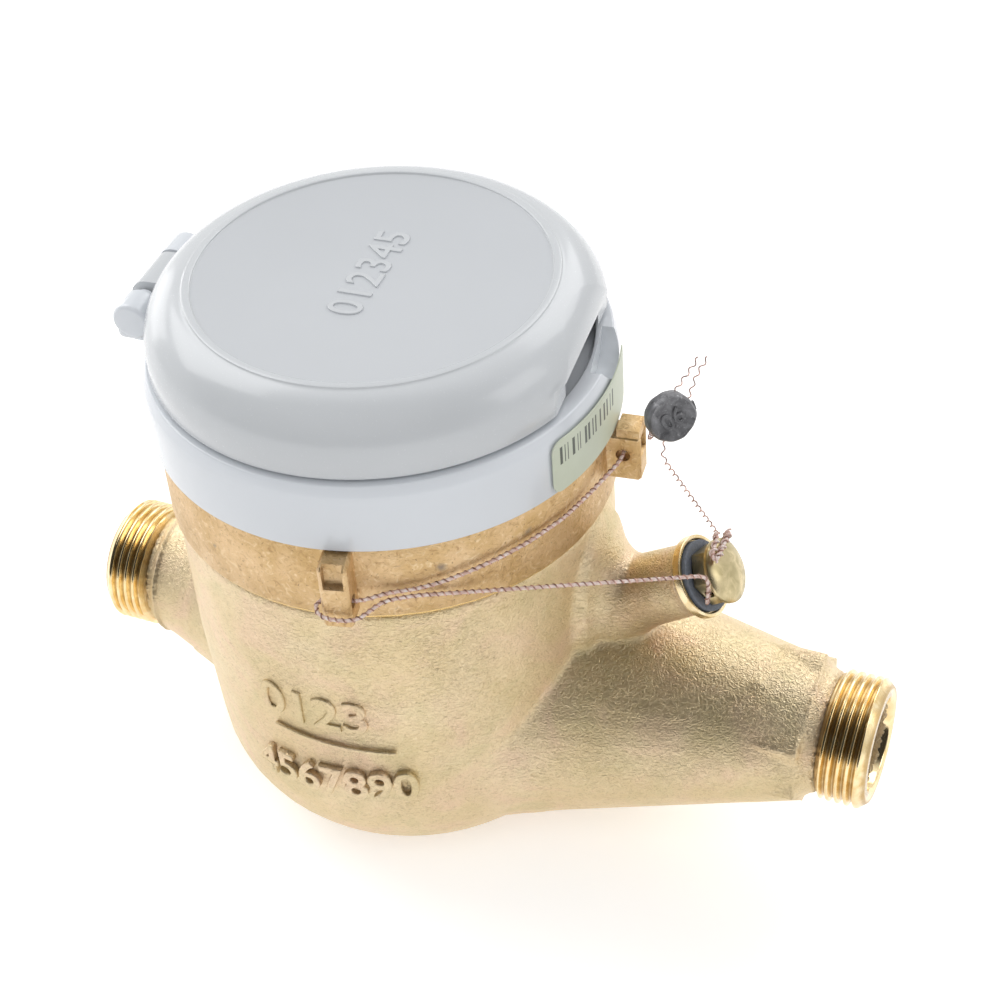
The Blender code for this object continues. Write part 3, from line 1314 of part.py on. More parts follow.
def notch_face():
    """What lies outside the notch's rounded face: a block less a cylinder."""
    rim_z = LID_BOTTOM_Z + NOTCH_RIM_HEIGHT
    notch = LID_RADIUS - NOTCH_DEPTH
    x = notch - math.sqrt(NOTCH_FACE_RADIUS ** 2 - NOTCH_FACE_RISE ** 2)
    z = rim_z + NOTCH_FACE_RISE
    low = (x, -LID_RADIUS, rim_z - OPEN_CUT / 2)
    face = box("notch_face", low, (HOOD_RADIUS, LID_RADIUS, LID_TOP_Z + OPEN_CUT), CUTTERS)
    reach = LID_RADIUS + OPEN_CUT
    form = rod("notch_form", NOTCH_FACE_RADIUS, (x, -reach, z), (x, reach, z), CUTTERS, steps=56)
    form.parent = face
    return cut(face, form)


def notch_pad():
    """Extra wall behind the notch, kept inside the shoulder's skin."""
    centre_r, shoulder_z = shoulder_centre()
    rim_z = LID_BOTTOM_Z + NOTCH_RIM_HEIGHT
    profile = [(0.0, shoulder_z + LID_SHOULDER_RADIUS - PAD_SKIN)]
    profile += arc(centre_r, shoulder_z, LID_SHOULDER_RADIUS - PAD_SKIN, 90.0, 0.0, 6)
    profile += [(LID_RADIUS - PAD_SKIN, LID_BOTTOM_Z), (0.0, LID_BOTTOM_Z)]
    pad = lathe("notch_pad", profile, CUTTERS, steps=56)
    start = LID_RADIUS - NOTCH_DEPTH - PAD_THICKNESS
    block = box(
        "pad_block", (start, -PAD_HALF_WIDTH, rim_z - OPEN_CUT), (HOOD_RADIUS, PAD_HALF_WIDTH, rim_z + PAD_HEIGHT),
        CUTTERS)
    block.parent = pad
    return combine(pad, block, "INTERSECT")


def build_lid():
    lid = lathe("lid", lid_profile(), PARTS, LID_PLASTIC, steps=56)
    lid.location = (HINGE_OUT, 0.0, -HINGE_Z)
    place(lid, LID_HINGE)
    join(lid, place(notch_pad(), REGISTER))
    for cutter in (notch_lip(), notch_face()):
        cutter.rotation_euler = (0.0, 0.0, NOTCH_TURN)
        cut(lid, place(cutter, REGISTER))
    room = KNUCKLE_RADIUS + HINGE_RELIEF
    relief_end = BACK_KNUCKLE[1] + KNUCKLE_GAP
    cut(lid, hinge_rod("lid_relief", room, FRONT_KNUCKLE[0] - KNUCKLE_GAP, relief_end, CUTTERS))
    near, far = LID_KNUCKLE
    inner = -(LID_RADIUS - LID_WALL)
    block = box(
        "lid_knuckle_block", (-HINGE_OUT, near, LID_BOTTOM_Z), (inner, far, HINGE_Z + KNUCKLE_RADIUS), CUTTERS)
    join(lid, place(block, REGISTER), hinge_rod("lid_barrel", KNUCKLE_RADIUS, near, far, CUTTERS))
    ends = (near - OPEN_CUT, far + OPEN_CUT)
    cut(lid, hinge_rod("lid_pin_hole", HINGE_PIN_RADIUS + GAP, ends[0], ends[1], CUTTERS, 16))
    return lid


def build_hinge_pin():
    near = FRONT_KNUCKLE[0] + PIN_SETBACK + GAP
    far = BACK_KNUCKLE[1] - PIN_SETBACK / 2
    ends = ((-HINGE_OUT, near, HINGE_Z), (-HINGE_OUT, far, HINGE_Z))
    return place(rod("hinge_pin", HINGE_PIN_RADIUS, ends[0], ends[1], PARTS, STEEL, 20), REGISTER)


def build_label():
    """A sticker wrapped on the hood, with round corners."""
    radius = HOOD_RADIUS + GAP
    low = HOOD_BOTTOM_Z + LABEL_MARGIN
    high = low + LABEL_HEIGHT
    length = (LABEL_END - LABEL_START) * radius
    count = 24
    corner = LABEL_CORNER
    stops = [corner * (1 - math.cos(math.pi / 2 * i / 4)) for i in range(5)]
    inner = [corner + (length - 2 * corner) * i / (count - 8) for i in range(1, count - 8)]
    runs = stops + inner + [length - stop for stop in reversed(stops)]
    bm = bmesh.new()
    rows = []
    for run in runs:
        edge = min(run, length - run)
        shy = 0.0
        if edge < corner:
            shy = corner - math.sqrt(max(0.0, corner ** 2 - (corner - edge) ** 2))
        angle = LABEL_START + run / radius
        x = radius * math.cos(angle)
        y = radius * math.sin(angle)
        rows.append((bm.verts.new((x, y, low + shy)), bm.verts.new((x, y, high - shy))))
    for (low_a, high_a), (low_b, high_b) in zip(rows, rows[1:]):
        bm.faces.new((low_a, low_b, high_b, high_a))
    label = object_from_bmesh("label", bm, PARTS, LABEL_PAPER)
    skin = label.modifiers.new("skin", "SOLIDIFY")
    skin.thickness = LABEL_THICKNESS
    skin.offset = 1.0
    return label


# Seal and its wire

def seal_point(side, up, out=0.0):
    return SEAL_CENTRE + SEAL_SIDE * side + SEAL_UP * up + SEAL_NORMAL * out


def build_lead_seal():
    half = SEAL_NORMAL * SEAL_THICKNESS / 2
    seal = rod("lead_seal", SEAL_RADIUS, SEAL_CENTRE - half, SEAL_CENTRE + half, PARTS, SEAL_METAL, 32)
    edges = seal.modifiers.new("edges", "BEVEL")
    edges.width = 0.5 * MM
    edges.segments = 2
    edges.limit_method = "ANGLE"
    for number, side in enumerate((-SEAL_HOLE_OFFSET, SEAL_HOLE_OFFSET), start=1):
        ends = (seal_point(side, -2 * SEAL_RADIUS), seal_point(side, 2 * SEAL_RADIUS))
        cut(seal, rod("seal_hole_%d" % number, SEAL_HOLE_RADIUS, ends[0], ends[1], CUTTERS, steps=14))
    return seal


def around_head(azimuth, radius, level, along=0.0):
    """A point by azimuth, radius and height, shifted sideways along the head's rim."""
    x = radius * math.cos(azimuth) - along * math.sin(azimuth)
    y = radius * math.sin(azimuth) + along * math.cos(azimuth)
    return Vector((x, y, level))


def at_plug(across, up, out):
    return boss_matrix() @ Vector((across, up, out))


def wire_route():
    """Seal, lug B, the ring's face, lug A, the plug and back to the seal."""
    lug_a, lug_b = LUG_AZIMUTHS
    level_a, level_b = LUG_HOLE_LEVELS
    outside_a, outside_b = [RING_RADIUS + reach + WIRE_RADIUS + WIRE_FACE_GAP for reach in LUG_REACHES]
    beside = LUG_WIDTH / 2 + 1.4 * MM
    face = RING_RADIUS + WIRE_RADIUS + WIRE_FACE_GAP
    hole = LUG_HOLE_RADIUS_OUT
    end = SEAL_RADIUS + 1.4 * MM
    tail = SEAL_RADIUS + TAIL_LENGTH
    route = [
        seal_point(-TAIL_CLEARANCE + 0.3 * MM, tail - 1 * MM),
        seal_point(-TAIL_CLEARANCE, end + 2.6 * MM),
        seal_point(-SEAL_HOLE_OFFSET, end),
        seal_point(-SEAL_HOLE_OFFSET, -end),
        around_head(lug_b, outside_b + 1.6 * MM, level_b + 9.0 * MM, 0.0),
        around_head(lug_b, outside_b + 0.4 * MM, level_b + 3.5 * MM, beside - 0.6 * MM),
        around_head(lug_b, hole + 1.6 * MM, level_b + 0.6 * MM, beside + 1.2 * MM),
        around_head(lug_b, hole, level_b, beside),
        around_head(lug_b, hole, level_b, -beside),
    ]
    route += [around_head(math.radians(degrees), face, level * MM) for degrees, level in FACE_ROUTE]
    route += [
        around_head(lug_a, hole, level_a, beside),
        around_head(lug_a, hole, level_a, -beside),
        around_head(lug_a, hole + 1.6 * MM, level_a - 0.9 * MM, -beside - 0.5 * MM),
        around_head(lug_a, outside_a, level_a - 1.6 * MM, -beside + 1.2 * MM),
        around_head(lug_a, outside_a + 0.1 * MM, level_a - 1.9 * MM, 0.0),
        around_head(lug_a, outside_a - 0.2 * MM, level_a - 2.0 * MM, beside - 0.4 * MM),
    ]
    route += [around_head(math.radians(degrees), face, level * MM) for degrees, level in LOWER_ROUTE]
    hole_level = plug_hole_level()
    along = Vector((math.cos(PLUG_HOLE_ANGLE), math.sin(PLUG_HOLE_ANGLE), 0.0)) * WRAP_RADIUS
    route += [
        at_plug(-6.6 * MM, 4.1 * MM, 5.9 * MM),
        at_plug(-7.4 * MM, 1.2 * MM, 4.6 * MM),
        at_plug(-along.x, -along.y, hole_level),
        at_plug(along.x, along.y, hole_level),
        at_plug(7.5 * MM, 3.6 * MM, 4.0 * MM),
    ]
    route += [at_plug(across * MM, up * MM, out * MM) for across, up, out in BUNDLE_ROUTE]
    route += [
        seal_point(SEAL_HOLE_OFFSET + 1.2 * MM, -end - 1.6 * MM, 0.4 * MM),
        seal_point(SEAL_HOLE_OFFSET, -end),
        seal_point(SEAL_HOLE_OFFSET, end),
        seal_point(TAIL_CLEARANCE - 0.2 * MM, end + 2.6 * MM),
        seal_point(TAIL_CLEARANCE + 0.3 * MM, tail),
    ]
    return route


def even_route(route):
    """The same straight runs with a point about every wire step."""
    points = [route[0]]
    for start, end in zip(route, route[1:]):
        run = (end - start).length
        parts = max(1, round(run / (WIRE_STEP * 2)))
        points += [start.lerp(end, (i + 1) / parts) for i in range(parts)]
    return points


def build_seal_wire():
    points = even_route(wire_route())
    curve = bpy.data.curves.new("seal_wire", "CURVE")
    curve.dimensions = "3D"
    curve.bevel_depth = WIRE_RADIUS
    curve.bevel_resolution = 2
    curve.use_fill_caps = True
    spline = curve.splines.new("POLY")
    spline.points.add(len(points) - 1)
    for point, spot in zip(spline.points, points):
        point.co = (*spot, 1.0)
    curve.materials.append(WIRE_METAL)
    wire = bpy.data.objects.new("seal_wire", curve)
    PARTS.objects.link(wire)
    return wire


def main():
    build_body()
    build_regulating_screw()
    build_plug_washer()
    build_regulator_plug()
    build_head_ring()
    build_strainer_basket()
    build_chamber_cup()
    build_chamber_cover()
    build_impeller()
    build_drive_magnet()
    build_impeller_pivot()
    build_pressure_cup()
    build_seal_ring()
    build_slip_ring()
    build_register_can()
    build_register_glass()
    build_dial_face()
    build_gear_frame()
    build_drum_axle()
    build_number_drums()
    build_pointers()
    build_star_wheel()
    build_driven_magnet()
    build_hood_ring()
    build_lid()
    build_hinge_pin()
    build_label()
    build_lead_seal()
    build_seal_wire()


fresh_scene()
PARTS = new_collection("water_meter")
CUTTERS = new_collection("cutters")

BRASS_CAST = make_material("brass_cast", (0.60, 0.47, 0.29), 0.45, 0.9)
BRASS_RING = make_material("brass_ring", (0.62, 0.40, 0.20), 0.4, 0.9)
BRASS_MACHINED = make_material("brass_machined", (0.80, 0.60, 0.25), 0.22, 1.0)
FIBRE = make_material("fibre_washer", (0.16, 0.17, 0.19), 0.6, 0.0)
STEEL = make_material("steel", (0.62, 0.62, 0.63), 0.3, 1.0)
MAGNET = make_material("ferrite", (0.10, 0.10, 0.11), 0.5, 0.2)
RUBBER = make_material("rubber", (0.03, 0.03, 0.03), 0.7, 0.0)
STRAINER_PLASTIC = make_material("strainer_plastic", (0.12, 0.13, 0.15), 0.5, 0.0)
CHAMBER_PLASTIC = make_material("chamber_plastic", (0.80, 0.80, 0.76), 0.45, 0.0)
IMPELLER_PLASTIC = make_material("impeller_plastic", (0.10, 0.25, 0.55), 0.4, 0.0)
SLIP_PLASTIC = make_material("slip_plastic", (0.85, 0.85, 0.82), 0.5, 0.0)
CAN_METAL = make_material("can_metal", (0.55, 0.56, 0.57), 0.35, 0.8)
GLASS = make_material("glass", (0.85, 0.90, 0.90), 0.05, 0.0)
DIAL_PAINT = make_material("dial_paint", (0.90, 0.90, 0.88), 0.5, 0.0)
FRAME_PLASTIC = make_material("frame_plastic", (0.75, 0.75, 0.70), 0.5, 0.0)
DRUM_PLASTIC = make_material("drum_plastic", (0.08, 0.08, 0.09), 0.45, 0.0)
POINTER_RED = make_material("pointer_red", (0.75, 0.05, 0.04), 0.4, 0.0)
HOOD_PLASTIC = make_material("hood_plastic", (0.80, 0.82, 0.84), 0.25, 0.0)
LID_PLASTIC = make_material("lid_plastic", (0.58, 0.61, 0.65), 0.25, 0.0)
LABEL_PAPER = make_material("label_paper", (0.66, 0.72, 0.60), 0.6, 0.0)
SEAL_METAL = make_material("seal_metal", (0.16, 0.16, 0.17), 0.5, 0.4)
WIRE_METAL = make_material("wire_metal", (0.80, 0.55, 0.48), 0.35, 0.6)

REGISTER = pivot("register_axis", (0.0, 0.0, 0.0), None, HOOD_TURN)
LID_HINGE = pivot("lid_hinge", (-HINGE_OUT, 0.0, HINGE_Z), REGISTER)

main()
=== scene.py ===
"""Materials, fine shapes and studio for the water meter."""

import math

import bmesh
import bpy
import numpy as np
from mathutils import Matrix, Vector


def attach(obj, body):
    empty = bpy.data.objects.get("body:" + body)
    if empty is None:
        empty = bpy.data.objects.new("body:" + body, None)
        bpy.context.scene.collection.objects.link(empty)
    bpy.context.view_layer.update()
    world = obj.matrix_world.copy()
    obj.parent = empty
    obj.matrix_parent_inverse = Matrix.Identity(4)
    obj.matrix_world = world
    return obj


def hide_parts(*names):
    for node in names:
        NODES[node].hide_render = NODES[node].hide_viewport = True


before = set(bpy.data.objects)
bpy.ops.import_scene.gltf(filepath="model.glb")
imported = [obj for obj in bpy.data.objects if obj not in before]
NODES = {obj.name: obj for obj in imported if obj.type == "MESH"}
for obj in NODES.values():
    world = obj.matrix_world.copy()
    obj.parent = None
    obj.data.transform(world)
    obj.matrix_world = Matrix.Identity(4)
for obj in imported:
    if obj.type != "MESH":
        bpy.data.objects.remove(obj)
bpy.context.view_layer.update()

MM = 0.001
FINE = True
WELD_REACH = 0.000005
TURN = math.radians(3.0)

# Camera at the photograph's place and angle
CAMERA_PLACE = Vector((0.1597, -0.2847, 0.3452))
CAMERA_RIGHT = Vector((0.9203, 0.3864, -0.0603)).normalized()
CAMERA_DOWN = Vector((0.2101, -0.6184, -0.7572)).normalized()
CAMERA_LENS = 76.75
SENSOR_WIDTH = 36.0


def axes_matrix(axes, place):
    """The matrix that puts the X, Y and Z axes along three directions at a place."""
    matrix = Matrix([list(row) + [0.0] for row in zip(*axes)] + [[0.0, 0.0, 0.0, 1.0]])
    matrix.translation = place
    return matrix


def add_camera():
    data = bpy.data.cameras.new("camera")
    data.lens = CAMERA_LENS
    data.sensor_width = SENSOR_WIDTH
    data.clip_start = 0.01
    camera = bpy.data.objects.new("camera", data)
    bpy.context.scene.collection.objects.link(camera)
    axes = (CAMERA_RIGHT, -CAMERA_DOWN, -CAMERA_RIGHT.cross(CAMERA_DOWN))
    camera.matrix_world = axes_matrix(axes, CAMERA_PLACE)
    bpy.context.scene.camera = camera


# Sizes that the materials and the shapes share
PIPE_Z = 33.0 * MM
THREAD_RADIUS = 13.2 * MM

# Label bars: each one's start and width round the hood in radians, and their lower and upper ends
LABEL_BARS = (
    (-0.360, 0.015), (-0.332, 0.005), (-0.314, 0.005), (-0.284, 0.016), (-0.250, 0.005),
    (-0.234, 0.005), (-0.199, 0.015), (-0.174, 0.014), (-0.141, 0.009), (-0.118, 0.010),
    (-0.078, 0.012), (-0.040, 0.014), (-0.008, 0.012), (0.030, 0.008), (0.058, 0.014))
LABEL_BAR_LEVELS = (0.1016, 0.1055)

# Centre, radius and depth of painted shade patches that darken the boss and the outlet pipe, and
# their tint on the casting
CASTING_PAINTED_SHADE = (
    ((0.055, -0.008, 0.060), 0.012, 0.55, (0.46, 0.31, 0.14)),
    ((0.049, -0.019, 0.050), 0.007, 0.40, (0.38, 0.28, 0.13)),
    ((0.072, -0.013, 0.040), 0.011, 0.30, (0.50, 0.41, 0.22)),
)
# Centre, radius and depth of dark patches on the head ring: stains, and painted shade in the front
# lug's recess
RING_STAINS_AND_PAINTED_SHADE = (
    ((0.0268, -0.0352, 0.0885), 0.0024, 0.8),
    ((0.0385, -0.0226, 0.0895), 0.0022, 0.8),
    ((0.0290, -0.0340, 0.0812), 0.0018, 0.6),
    ((-0.0170, -0.0408, 0.0858), 0.0013, 0.6),
    # Painted shade inside the front lug's recess
    ((0.0108, -0.0452, 0.0915), 0.0020, 0.9),
)


# Material helpers

def add_node(tree, kind, inputs, **settings):
    """Add a node, set its inputs to plain values or link them to outputs, and return its outputs."""
    node = tree.nodes.new("ShaderNode" + kind)
    for key, value in settings.items():
        setattr(node, key, value)
    for socket, value in inputs.items():
        if isinstance(value, bpy.types.NodeSocket):
            tree.links.new(value, node.inputs[socket])
        else:
            node.inputs[socket].default_value = value
    return node.outputs


class Paint:
    """A node material with short ways to add textures."""

    def __init__(self, name, colour, roughness, metallic=0.0):
        self.material = bpy.data.materials.new(name)
        self.material.use_nodes = True
        self.tree = self.material.node_tree
        self.shader = self.tree.nodes["Principled BSDF"]
        self.set("Base Color", (*colour, 1.0))
        self.set("Roughness", roughness)
        self.set("Metallic", metallic)
        self.place = self.node("TexCoord", {})["Object"]

    def set(self, socket, value):
        self.shader.inputs[socket].default_value = value

    def node(self, kind, inputs, **settings):
        return add_node(self.tree, kind, inputs, **settings)

    def feed(self, output, socket):
        self.tree.links.new(output, self.shader.inputs[socket])

    def noise(self, size, detail=3.0, distortion=0.0, rough=0.5, stretch=(1.0, 1.0, 1.0)):
        """Noise whose features are about size metres wide."""
        place = self.node("Mapping", {"Vector": self.place, "Scale": stretch})["Vector"]
        inputs = {
            "Vector": place, "Scale": 1.0 / size, "Detail": detail, "Distortion": distortion,
            "Roughness": rough}
        return self.node("TexNoise", inputs)["Fac"]

    def ramp(self, source, low=0.35, high=0.65, start=0.0, end=1.0):
        """Map source from low..high to start..end."""
        inputs = {
            "Value": source, "From Min": low, "From Max": high, "To Min": start, "To Max": end}
        return self.node("MapRange", inputs)["Result"]

    def math(self, operation, first, second):
        return self.node("Math", {0: first, 1: second}, operation=operation)[0]

    def mix(self, factor, first, second):
        """Mix two colours, each a tuple or an output."""
        tones = [(*tone, 1.0) if isinstance(tone, tuple) else tone for tone in (first, second)]
        return self.node("Mix", {0: factor, 6: tones[0], 7: tones[1]}, data_type="RGBA")[2]

    def axis(self, name):
        return self.node("SeparateXYZ", {0: self.place})[name]

    def stain(self, colour, *layers):
        """Lay tints on a colour, each where its source runs from low to high, at a depth."""
        for source, low, high, depth, tint in layers:
            colour = self.mix(self.ramp(source, low, high, 0.0, depth), colour, tint)
        return colour

    def relief(self, *layers):
        """Bump by one height on another, each with its depth in metres and its strength."""
        inputs = {}
        for height, depth, strength in layers:
            inputs.update({"Strength": strength, "Distance": depth, "Height": height})
            inputs["Normal"] = self.node("Bump", inputs)["Normal"]
        self.feed(inputs["Normal"], "Normal")


def patch(paint, centre, radius, wobble=0.35, size=0.004):
    """A mask that is 1 round a point and fades with a ragged edge."""
    apart = paint.node("VectorMath", {0: paint.place, 1: centre}, operation="DISTANCE")["Value"]
    ragged = paint.math("MULTIPLY", paint.noise(size, 3.0), wobble * radius * 2)
    return paint.ramp(paint.math("ADD", apart, ragged), radius * 1.2, radius * 0.6)


def cast_brass():
    """Pale sand-cast brass: wrinkled grain, rosy and olive areas, dark flecks and pinholes, and
    painted shade patches on the boss and the outlet pipe.
    """
    paint = Paint("cast_brass", (0.78, 0.62, 0.40), 0.42, 0.92)
    broad = paint.noise(0.020, 4.0, 0.4)
    rosy = paint.noise(0.011, 3.0, 0.8)
    grain = paint.noise(0.00085, 2.5, 1.4, 0.5, (1.0, 1.0, 1.5))
    fine = paint.noise(0.00034, 2.0, 0.3)
    fleck = paint.noise(0.0021, 5.0, 2.2, 0.62, (1.0, 1.0, 2.2))
    coarse = paint.noise(0.014, 2.0)
    colour = paint.stain(
        paint.mix(paint.ramp(broad), (0.76, 0.61, 0.37), (0.84, 0.69, 0.46)),
        (rosy, 0.50, 0.70, 0.55, (0.85, 0.62, 0.46)), (rosy, 0.45, 0.30, 0.45, (0.66, 0.57, 0.32)),
        (grain, 0.46, 0.30, 0.38, (0.42, 0.32, 0.15)),
        (grain, 0.58, 0.72, 0.30, (0.93, 0.82, 0.60)),
        (fleck, 0.315, 0.27, 0.75, (0.26, 0.19, 0.11)))
    # Painted shade: darker patches on the boss and the outlet pipe stand in for the dark reflection
    # there
    for centre, radius, depth, tint in CASTING_PAINTED_SHADE:
        shade = paint.math("MULTIPLY", patch(paint, centre, radius), depth)
        colour = paint.mix(shade, colour, tint)
    paint.feed(colour, "Base Color")
    paint.feed(paint.ramp(fleck, 0.3, 0.7, 0.52, 0.40), "Roughness")
    wrinkle = paint.math("MULTIPLY", grain, paint.ramp(coarse, 0.35, 0.65, 0.55, 1.0))
    paint.relief((wrinkle, 0.00042, 0.95), (fine, 0.00008, 0.6), (fleck, 0.00015, 0.5))
    return paint.material


def ring_brass():
    """Brown, dull turned brass with stains, pits, painted shade in the front lug's recess and a clean
    machined lower edge.
    """
    paint = Paint("ring_brass", (0.60, 0.41, 0.22), 0.46, 0.85)
    broad = paint.noise(0.010, 4.0, 0.8)
    mottle = paint.noise(0.0016, 4.0, 1.2, 0.6)
    streak = paint.noise(0.0007, 3.0, 0.0, 0.5, (1.0, 1.0, 5.0))
    pits = paint.noise(0.00055, 2.0, 0.6)
    colour = paint.stain(
        paint.mix(paint.ramp(broad), (0.60, 0.40, 0.18), (0.74, 0.53, 0.30)),
        (mottle, 0.54, 0.72, 0.7, (0.88, 0.70, 0.45)),
        (mottle, 0.44, 0.28, 0.65, (0.36, 0.20, 0.08)), (pits, 0.36, 0.26, 0.6, (0.24, 0.14, 0.07)))
    # Stains, and painted shade that darkens the front lug's recess
    for centre, radius, depth in RING_STAINS_AND_PAINTED_SHADE:
        shade = paint.math("MULTIPLY", patch(paint, centre, radius, 0.6, 0.0014), depth)
        colour = paint.mix(shade, colour, (0.20, 0.17, 0.15))
    edge = paint.ramp(paint.axis("Z"), 0.0788, 0.0785)
    colour = paint.mix(edge, colour, (0.90, 0.66, 0.28))
    paint.feed(colour, "Base Color")
    paint.feed(paint.ramp(edge, 0.0, 1.0, 0.46, 0.16), "Roughness")
    paint.relief((streak, 0.00006, 0.5), (mottle, 0.00026, 0.85), (pits, 0.00012, 0.7))
    return paint.material


def stained_brass(name, colour, roughness, size, tones, dirt, share, gloss, relief):
    """Turned brass of two tones, with dirt in its fine grain."""
    paint = Paint(name, colour, roughness, 1.0)
    stain = paint.noise(size, 4.0, 0.8)
    fine = paint.noise(0.0004, 2.0)
    colour = paint.mix(paint.ramp(stain), *tones)
    paint.feed(paint.stain(colour, (fine, 0.34, 0.22, share, dirt)), "Base Color")
    paint.feed(paint.ramp(stain, 0.3, 0.7, *gloss), "Roughness")
    paint.relief((fine, *relief))
    return paint.material


def machined_brass():
    """Turned brass, clean on the crests and brown where dirt has settled."""
    return stained_brass(
        "machined_brass", (0.86, 0.68, 0.40), 0.24, 0.0035, ((0.76, 0.58, 0.30), (0.92, 0.77, 0.50)),
        (0.34, 0.20, 0.08), 0.6, (0.34, 0.20), (0.00002, 0.4))


def plug_brass():
    """Brass gone olive with age."""
    return stained_brass(
        "plug_brass", (0.60, 0.50, 0.30), 0.30, 0.0028, ((0.42, 0.35, 0.19), (0.66, 0.55, 0.33)),
        (0.26, 0.18, 0.08), 0.5, (0.38, 0.26), (0.00003, 0.5))


def thread_brass():
    """Bright turned brass with faint turning lines, brown specks of dirt, and painted shade darkening
    the thread's valleys.
    """
    paint = Paint("thread_brass", (0.86, 0.68, 0.38), 0.16, 1.0)
    stain = paint.noise(0.0030, 4.0, 1.0)
    fine = paint.noise(0.0005, 3.0, 0.4)
    lines = paint.noise(0.0002, 2.0, 0.0, 0.5, (1.0, 0.05, 0.05))
    across = paint.axis("Y")
    up = paint.math("SUBTRACT", paint.axis("Z"), PIPE_Z)
    squares = [paint.math("MULTIPLY", part, part) for part in (across, up)]
    reach = paint.math("SQRT", paint.math("ADD", *squares), 0.0)
    reach = paint.math("ADD", reach, paint.math("MULTIPLY", stain, 0.0006))
    valley = paint.ramp(reach, THREAD_RADIUS - 0.0003, THREAD_RADIUS - 0.0009)
    floor = paint.ramp(reach, THREAD_RADIUS - 0.0020, THREAD_RADIUS - 0.0013)
    valley = paint.math("MULTIPLY", valley, floor)
    colour = paint.mix(paint.ramp(stain), (0.84, 0.62, 0.30), (0.92, 0.76, 0.47))
    # Painted shade: the valley mask darkens the thread's valleys to brown
    colour = paint.mix(paint.math("MULTIPLY", valley, 0.55), colour, (0.34, 0.20, 0.07))
    colour = paint.stain(colour, (fine, 0.34, 0.24, 0.4, (0.40, 0.25, 0.11)))
    paint.feed(colour, "Base Color")
    paint.feed(paint.ramp(valley, 0.0, 1.0, 0.15, 0.34), "Roughness")
    paint.relief((lines, 0.00001, 0.3), (fine, 0.00002, 0.4))
    return paint.material


def plastic(name, colour, roughness, grain=0.00035, depth=0.000006):
    """Moulded plastic with a faint grain."""
    paint = Paint(name, colour, roughness)
    broad = paint.noise(0.03, 3.0)
    fine = paint.noise(grain, 2.0)
    darker = tuple(0.94 * part for part in colour)
    paint.feed(paint.mix(broad, darker, colour), "Base Color")
    paint.feed(paint.ramp(fine, 0.3, 0.7, roughness * 0.85, roughness * 1.15), "Roughness")
    paint.relief((fine, depth, 0.6))
    return paint


def coat(paint, weight):
    """Add a clear gloss over a plastic."""
    paint.set("Coat Weight", weight)
    paint.set("Coat Roughness", 0.08)
    return paint.material


def lid_plastic():
    """Glossy grey with one dark speck on the shoulder."""
    paint = plastic("lid_plastic", (0.56, 0.58, 0.60), 0.24)
    speck = patch(paint, (0.0154, -0.0376, 0.1200), 0.0005, 0.1)
    colour = paint.mix(paint.noise(0.03, 3.0), (0.54, 0.56, 0.58), (0.58, 0.60, 0.62))
    paint.feed(paint.mix(speck, colour, (0.10, 0.10, 0.10)), "Base Color")
    return coat(paint, 0.3)


def lid_satin():
    return plastic("lid_satin", (0.55, 0.57, 0.595), 0.42, 0.0003, 0.00001).material


def hood_plastic():
    return coat(plastic("hood_plastic", (0.70, 0.73, 0.77), 0.22), 0.25)


# Colour, roughness, metallic, grain and its detail, two tones, depth and strength of the bump
MOTTLED = {
    "dark_fibre": (
        (0.12, 0.14, 0.17), 0.6, 0.0, (0.0005, 3.0), (0.07, 0.08, 0.10), (0.20, 0.22, 0.26),
        (0.00005, 0.5)),
    "steel_rod": (
        (0.62, 0.62, 0.63), 0.3, 1.0, (0.0004, 2.0), (0.50, 0.50, 0.51), (0.68, 0.68, 0.69),
        (0.00001, 0.4)),
    "ferrite_grey": (
        (0.09, 0.09, 0.10), 0.5, 0.2, (0.0005, 3.0), (0.06, 0.06, 0.07), (0.14, 0.14, 0.15),
        (0.00003, 0.4)),
    "dial_print": (
        (0.86, 0.87, 0.86), 0.5, 0.0, (0.0006, 2.0), (0.83, 0.84, 0.83), (0.90, 0.90, 0.89), ()),
}


def mottled(name):
    """Two tones in a fine grain."""
    colour, roughness, metallic, grain, first, second, relief = MOTTLED[name]
    paint = Paint(name, colour, roughness, metallic)
    fine = paint.noise(*grain)
    paint.feed(paint.mix(fine, first, second), "Base Color")
    if relief:
        paint.relief((fine, *relief))
    return paint.material


def wire_core():
    paint = Paint("wire_core", (0.80, 0.68, 0.64), 0.35)
    share = paint.ramp(paint.noise(0.0009, 2.0))
    paint.feed(paint.mix(share, (0.62, 0.42, 0.36), (0.86, 0.74, 0.69)), "Base Color")
    paint.set("Subsurface Weight", 0.2)
    paint.set("Subsurface Radius", (0.001, 0.0006, 0.0005))
    return paint.material


def wire_copper():
    paint = Paint("wire_copper", (0.50, 0.28, 0.22), 0.36, 0.7)
    share = paint.ramp(paint.noise(0.0012, 2.0))
    paint.feed(paint.mix(share, (0.26, 0.14, 0.11), (0.70, 0.44, 0.36)), "Base Color")
    return paint.material


def ink(name, colour):
    paint = Paint(name, colour, 0.55)
    lighter = tuple(part + 0.03 for part in colour)
    paint.feed(paint.mix(paint.noise(0.0007, 2.0), colour, lighter), "Base Color")
    return paint.material


def seal_lead():
    """Dull lead, dented and bright where it is rubbed."""
    paint = Paint("seal_lead", (0.15, 0.15, 0.155), 0.40, 0.5)
    broad = paint.noise(0.0018, 4.0, 0.8)
    fine = paint.noise(0.0005, 3.0, 0.5)
    colour = paint.mix(paint.ramp(broad, 0.3, 0.7), (0.09, 0.09, 0.095), (0.24, 0.24, 0.25))
    colour = paint.stain(colour, (fine, 0.60, 0.75, 0.6, (0.42, 0.42, 0.43)))
    paint.feed(colour, "Base Color")
    paint.relief((broad, 0.00025, 0.5), (fine, 0.00006, 0.5))
    return paint.material


